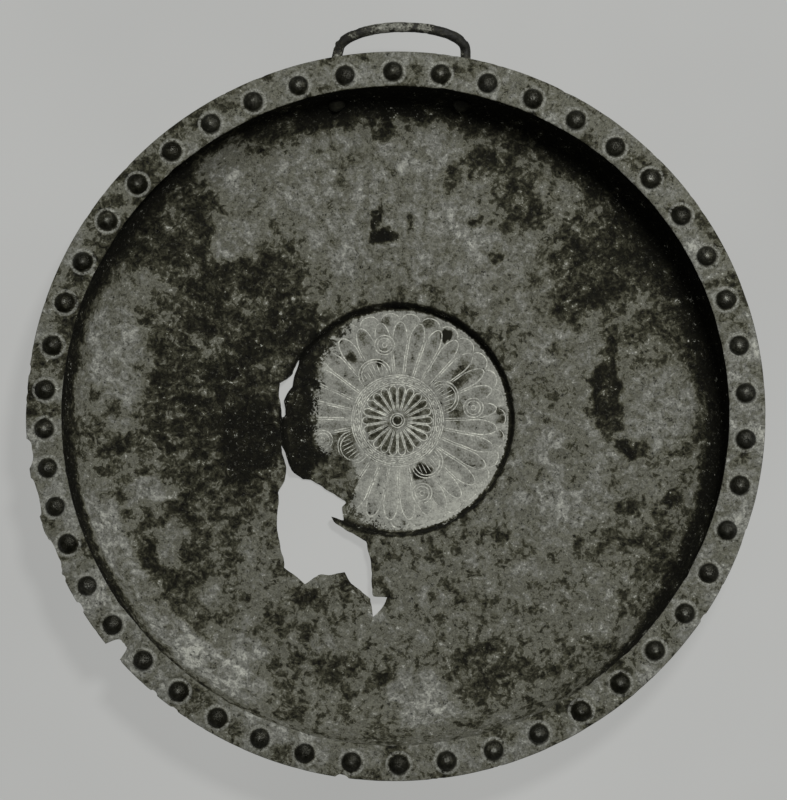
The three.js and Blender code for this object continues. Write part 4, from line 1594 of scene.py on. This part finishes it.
    def build(self, finish: bpy.types.Material) -> bpy.types.Object:
        """Makes the handle as one solid."""
        handle = self.rod().mesh("loop_handle", finish)
        for place in self.places:
            self.workshop.worked(handle, self.lug(place), finish, "UNION")
        for place in self.places:
            self.workshop.worked(handle, place.bore(2.3, -7, 3), finish, "DIFFERENCE")
        self.workshop.finished(handle, 45)
        points = np.empty(len(handle.data.vertices) * 3)
        handle.data.vertices.foreach_get("co", points)
        points = points.reshape(-1, 3) / MM
        # Paler along the top of the loop's middle, from rubbed wear and a painted highlight on the lit top; a
        # little darker along the rest of the rod.
        middle = smooth(-np.abs(points[:, 0] - self.centre_x + 4), -22, -12)
        upper = smooth(points[:, 2], self.high - 1.5, self.high + 1.5)
        wear = handle.data.attributes.new("wear", "FLOAT", "POINT")
        wear.data.foreach_set("value", (0.11 * middle * upper - 0.05 * (1 - middle)).astype(np.float32))
        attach(handle, "root")
        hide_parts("handle")
        return handle


# ---- Studio ---------------------------------------------------------------------------------------


@dataclass(frozen=True)
class Studio:
    """Pale floor, one large lamp from the upper right, a weak sky and the camera overhead."""

    floor_size: float = 6.0
    floor_height: float = -0.2
    floor_tone: tuple[float, float, float] = (0.080, 0.0805, 0.0785)
    floor_glow: float = 4.75
    lamp_direction: tuple[float, float] = (52, 65)
    lamp_distance: float = 1.7
    lamp_size: float = 0.30
    lamp_power: float = 26.0
    sky: float = 0.07
    camera_distance: float = 1.6
    camera_lean: float = 6.0
    camera_side: float = 23.0
    lens: float = 164.7
    aim: tuple[float, float] = (-0.26, 5.6)

    def floor(self) -> None:
        """A wide floor just under the basin, which glows a little like a light table."""
        tree = FinishTree("floor_paint")
        place = tree.place()
        value = tree.wire(tree.noise(place, 260, 3, 0.5)) - 0.5
        palest = tuple(2 * t for t in self.floor_tone)
        tone = tree.ramp(value * 0.12 + 0.5, [(0.0, (0.0, 0.0, 0.0)), (1.0, palest)])
        tree.feed(tree.shader.inputs["Base Color"], tone)
        tree.feed(tree.shader.inputs["Emission Color"], tone)
        tree.shader.inputs["Emission Strength"].default_value = self.floor_glow
        tree.shader.inputs["Roughness"].default_value = 0.95
        tree.shader.inputs["Specular IOR Level"].default_value = 0.1
        half = self.floor_size / 2 / MM
        square = ((-half, -half), (half, -half), (half, half), (-half, half))
        corners = np.array([(x, y, self.floor_height) for x, y in square])
        skin = Skin(corners, np.array([(0, 1, 2), (0, 2, 3)]))
        skin.mesh("studio_floor", tree.material)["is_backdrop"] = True

    def toward(self, obj: bpy.types.Object, target: Sequence[float]) -> None:
        """Turns a lamp or camera to face a point, with +Y up in its view."""
        back = np.array(obj.location) - np.array(target)
        back /= np.linalg.norm(back)
        right = np.cross((0, 1.0, 0), back)
        right /= np.linalg.norm(right)
        up = np.cross(back, right)
        rows = [(*(float(axis[k]) for axis in (right, up, back)), obj.location[k]) for k in range(3)]
        obj.matrix_world = Matrix([*rows, (0, 0, 0, 1)])

    def lights(self, top: float) -> None:
        """The lamp and the sky."""
        azimuth, elevation = (math.radians(a) for a in self.lamp_direction)
        data = bpy.data.lights.new("key_lamp", "AREA")
        data.shape = "DISK"
        data.size = self.lamp_size
        data.energy = self.lamp_power
        lamp = bpy.data.objects.new("key_lamp", data)
        lamp.location = (
            self.lamp_distance * math.cos(azimuth) * math.cos(elevation),
            self.lamp_distance * math.sin(azimuth) * math.cos(elevation),
            top + self.lamp_distance * math.sin(elevation),
        )
        bpy.context.scene.collection.objects.link(lamp)
        self.toward(lamp, (0, 0, top))
        world = bpy.data.worlds.new("soft_sky")
        world.use_nodes = True
        sky = world.node_tree.nodes["Background"]
        sky.inputs["Color"].default_value = (1, 1, 1, 1)
        sky.inputs["Strength"].default_value = self.sky
        bpy.context.scene.world = world

    def camera(self, rim_top: float) -> None:
        """The camera, almost straight above, a little towards +X and -Y."""
        side, lean = math.radians(self.camera_side), math.radians(self.camera_lean)
        target = (self.aim[0] * MM, self.aim[1] * MM, rim_top)
        back = (math.sin(side) * math.sin(lean), -math.cos(side) * math.sin(lean), math.cos(lean))
        data = bpy.data.cameras.new("overhead_camera")
        data.lens = self.lens
        data.clip_end = 50
        camera = bpy.data.objects.new("overhead_camera", data)
        camera.location = tuple(t + self.camera_distance * b for t, b in zip(target, back))
        bpy.context.scene.collection.objects.link(camera)
        self.toward(camera, target)
        bpy.context.scene.camera = camera

    def build(self, form: Form) -> None:
        """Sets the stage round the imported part."""
        bpy.context.scene.view_settings.view_transform = "Standard"
        self.floor()
        self.lights(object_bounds()[1].z)
        self.camera(form.rim_top * MM)


# Each rivet's side, its distance from the centre line, and the seed of its dents.
RIVETS = (("left", -26.5, 3), ("right", 29.3, 8))


def main() -> None:
    """Builds the pieces in order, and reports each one."""
    logging.basicConfig(level=logging.INFO, format="%(message)s")
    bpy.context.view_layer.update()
    form, workshop = Form(), Workshop()
    Studio().build(form)
    places = tuple(RivetPlace(form, x) for _, x, _ in RIVETS)
    rivet_finish = RIVET_BRONZE.build()
    pieces = [
        Basin(form, workshop, places).build(),
        Handle(form, workshop, places).build(HANDLE_BRONZE.build()),
        *(
            Rivet(form, place, side, seed).build(rivet_finish)
            for place, (side, _, seed) in zip(places, RIVETS)
        ),
    ]
    for piece in pieces:
        LOG.info("%s: %d triangles", piece.name, len(piece.data.polygons))


if __name__ == "__main__":
    main()
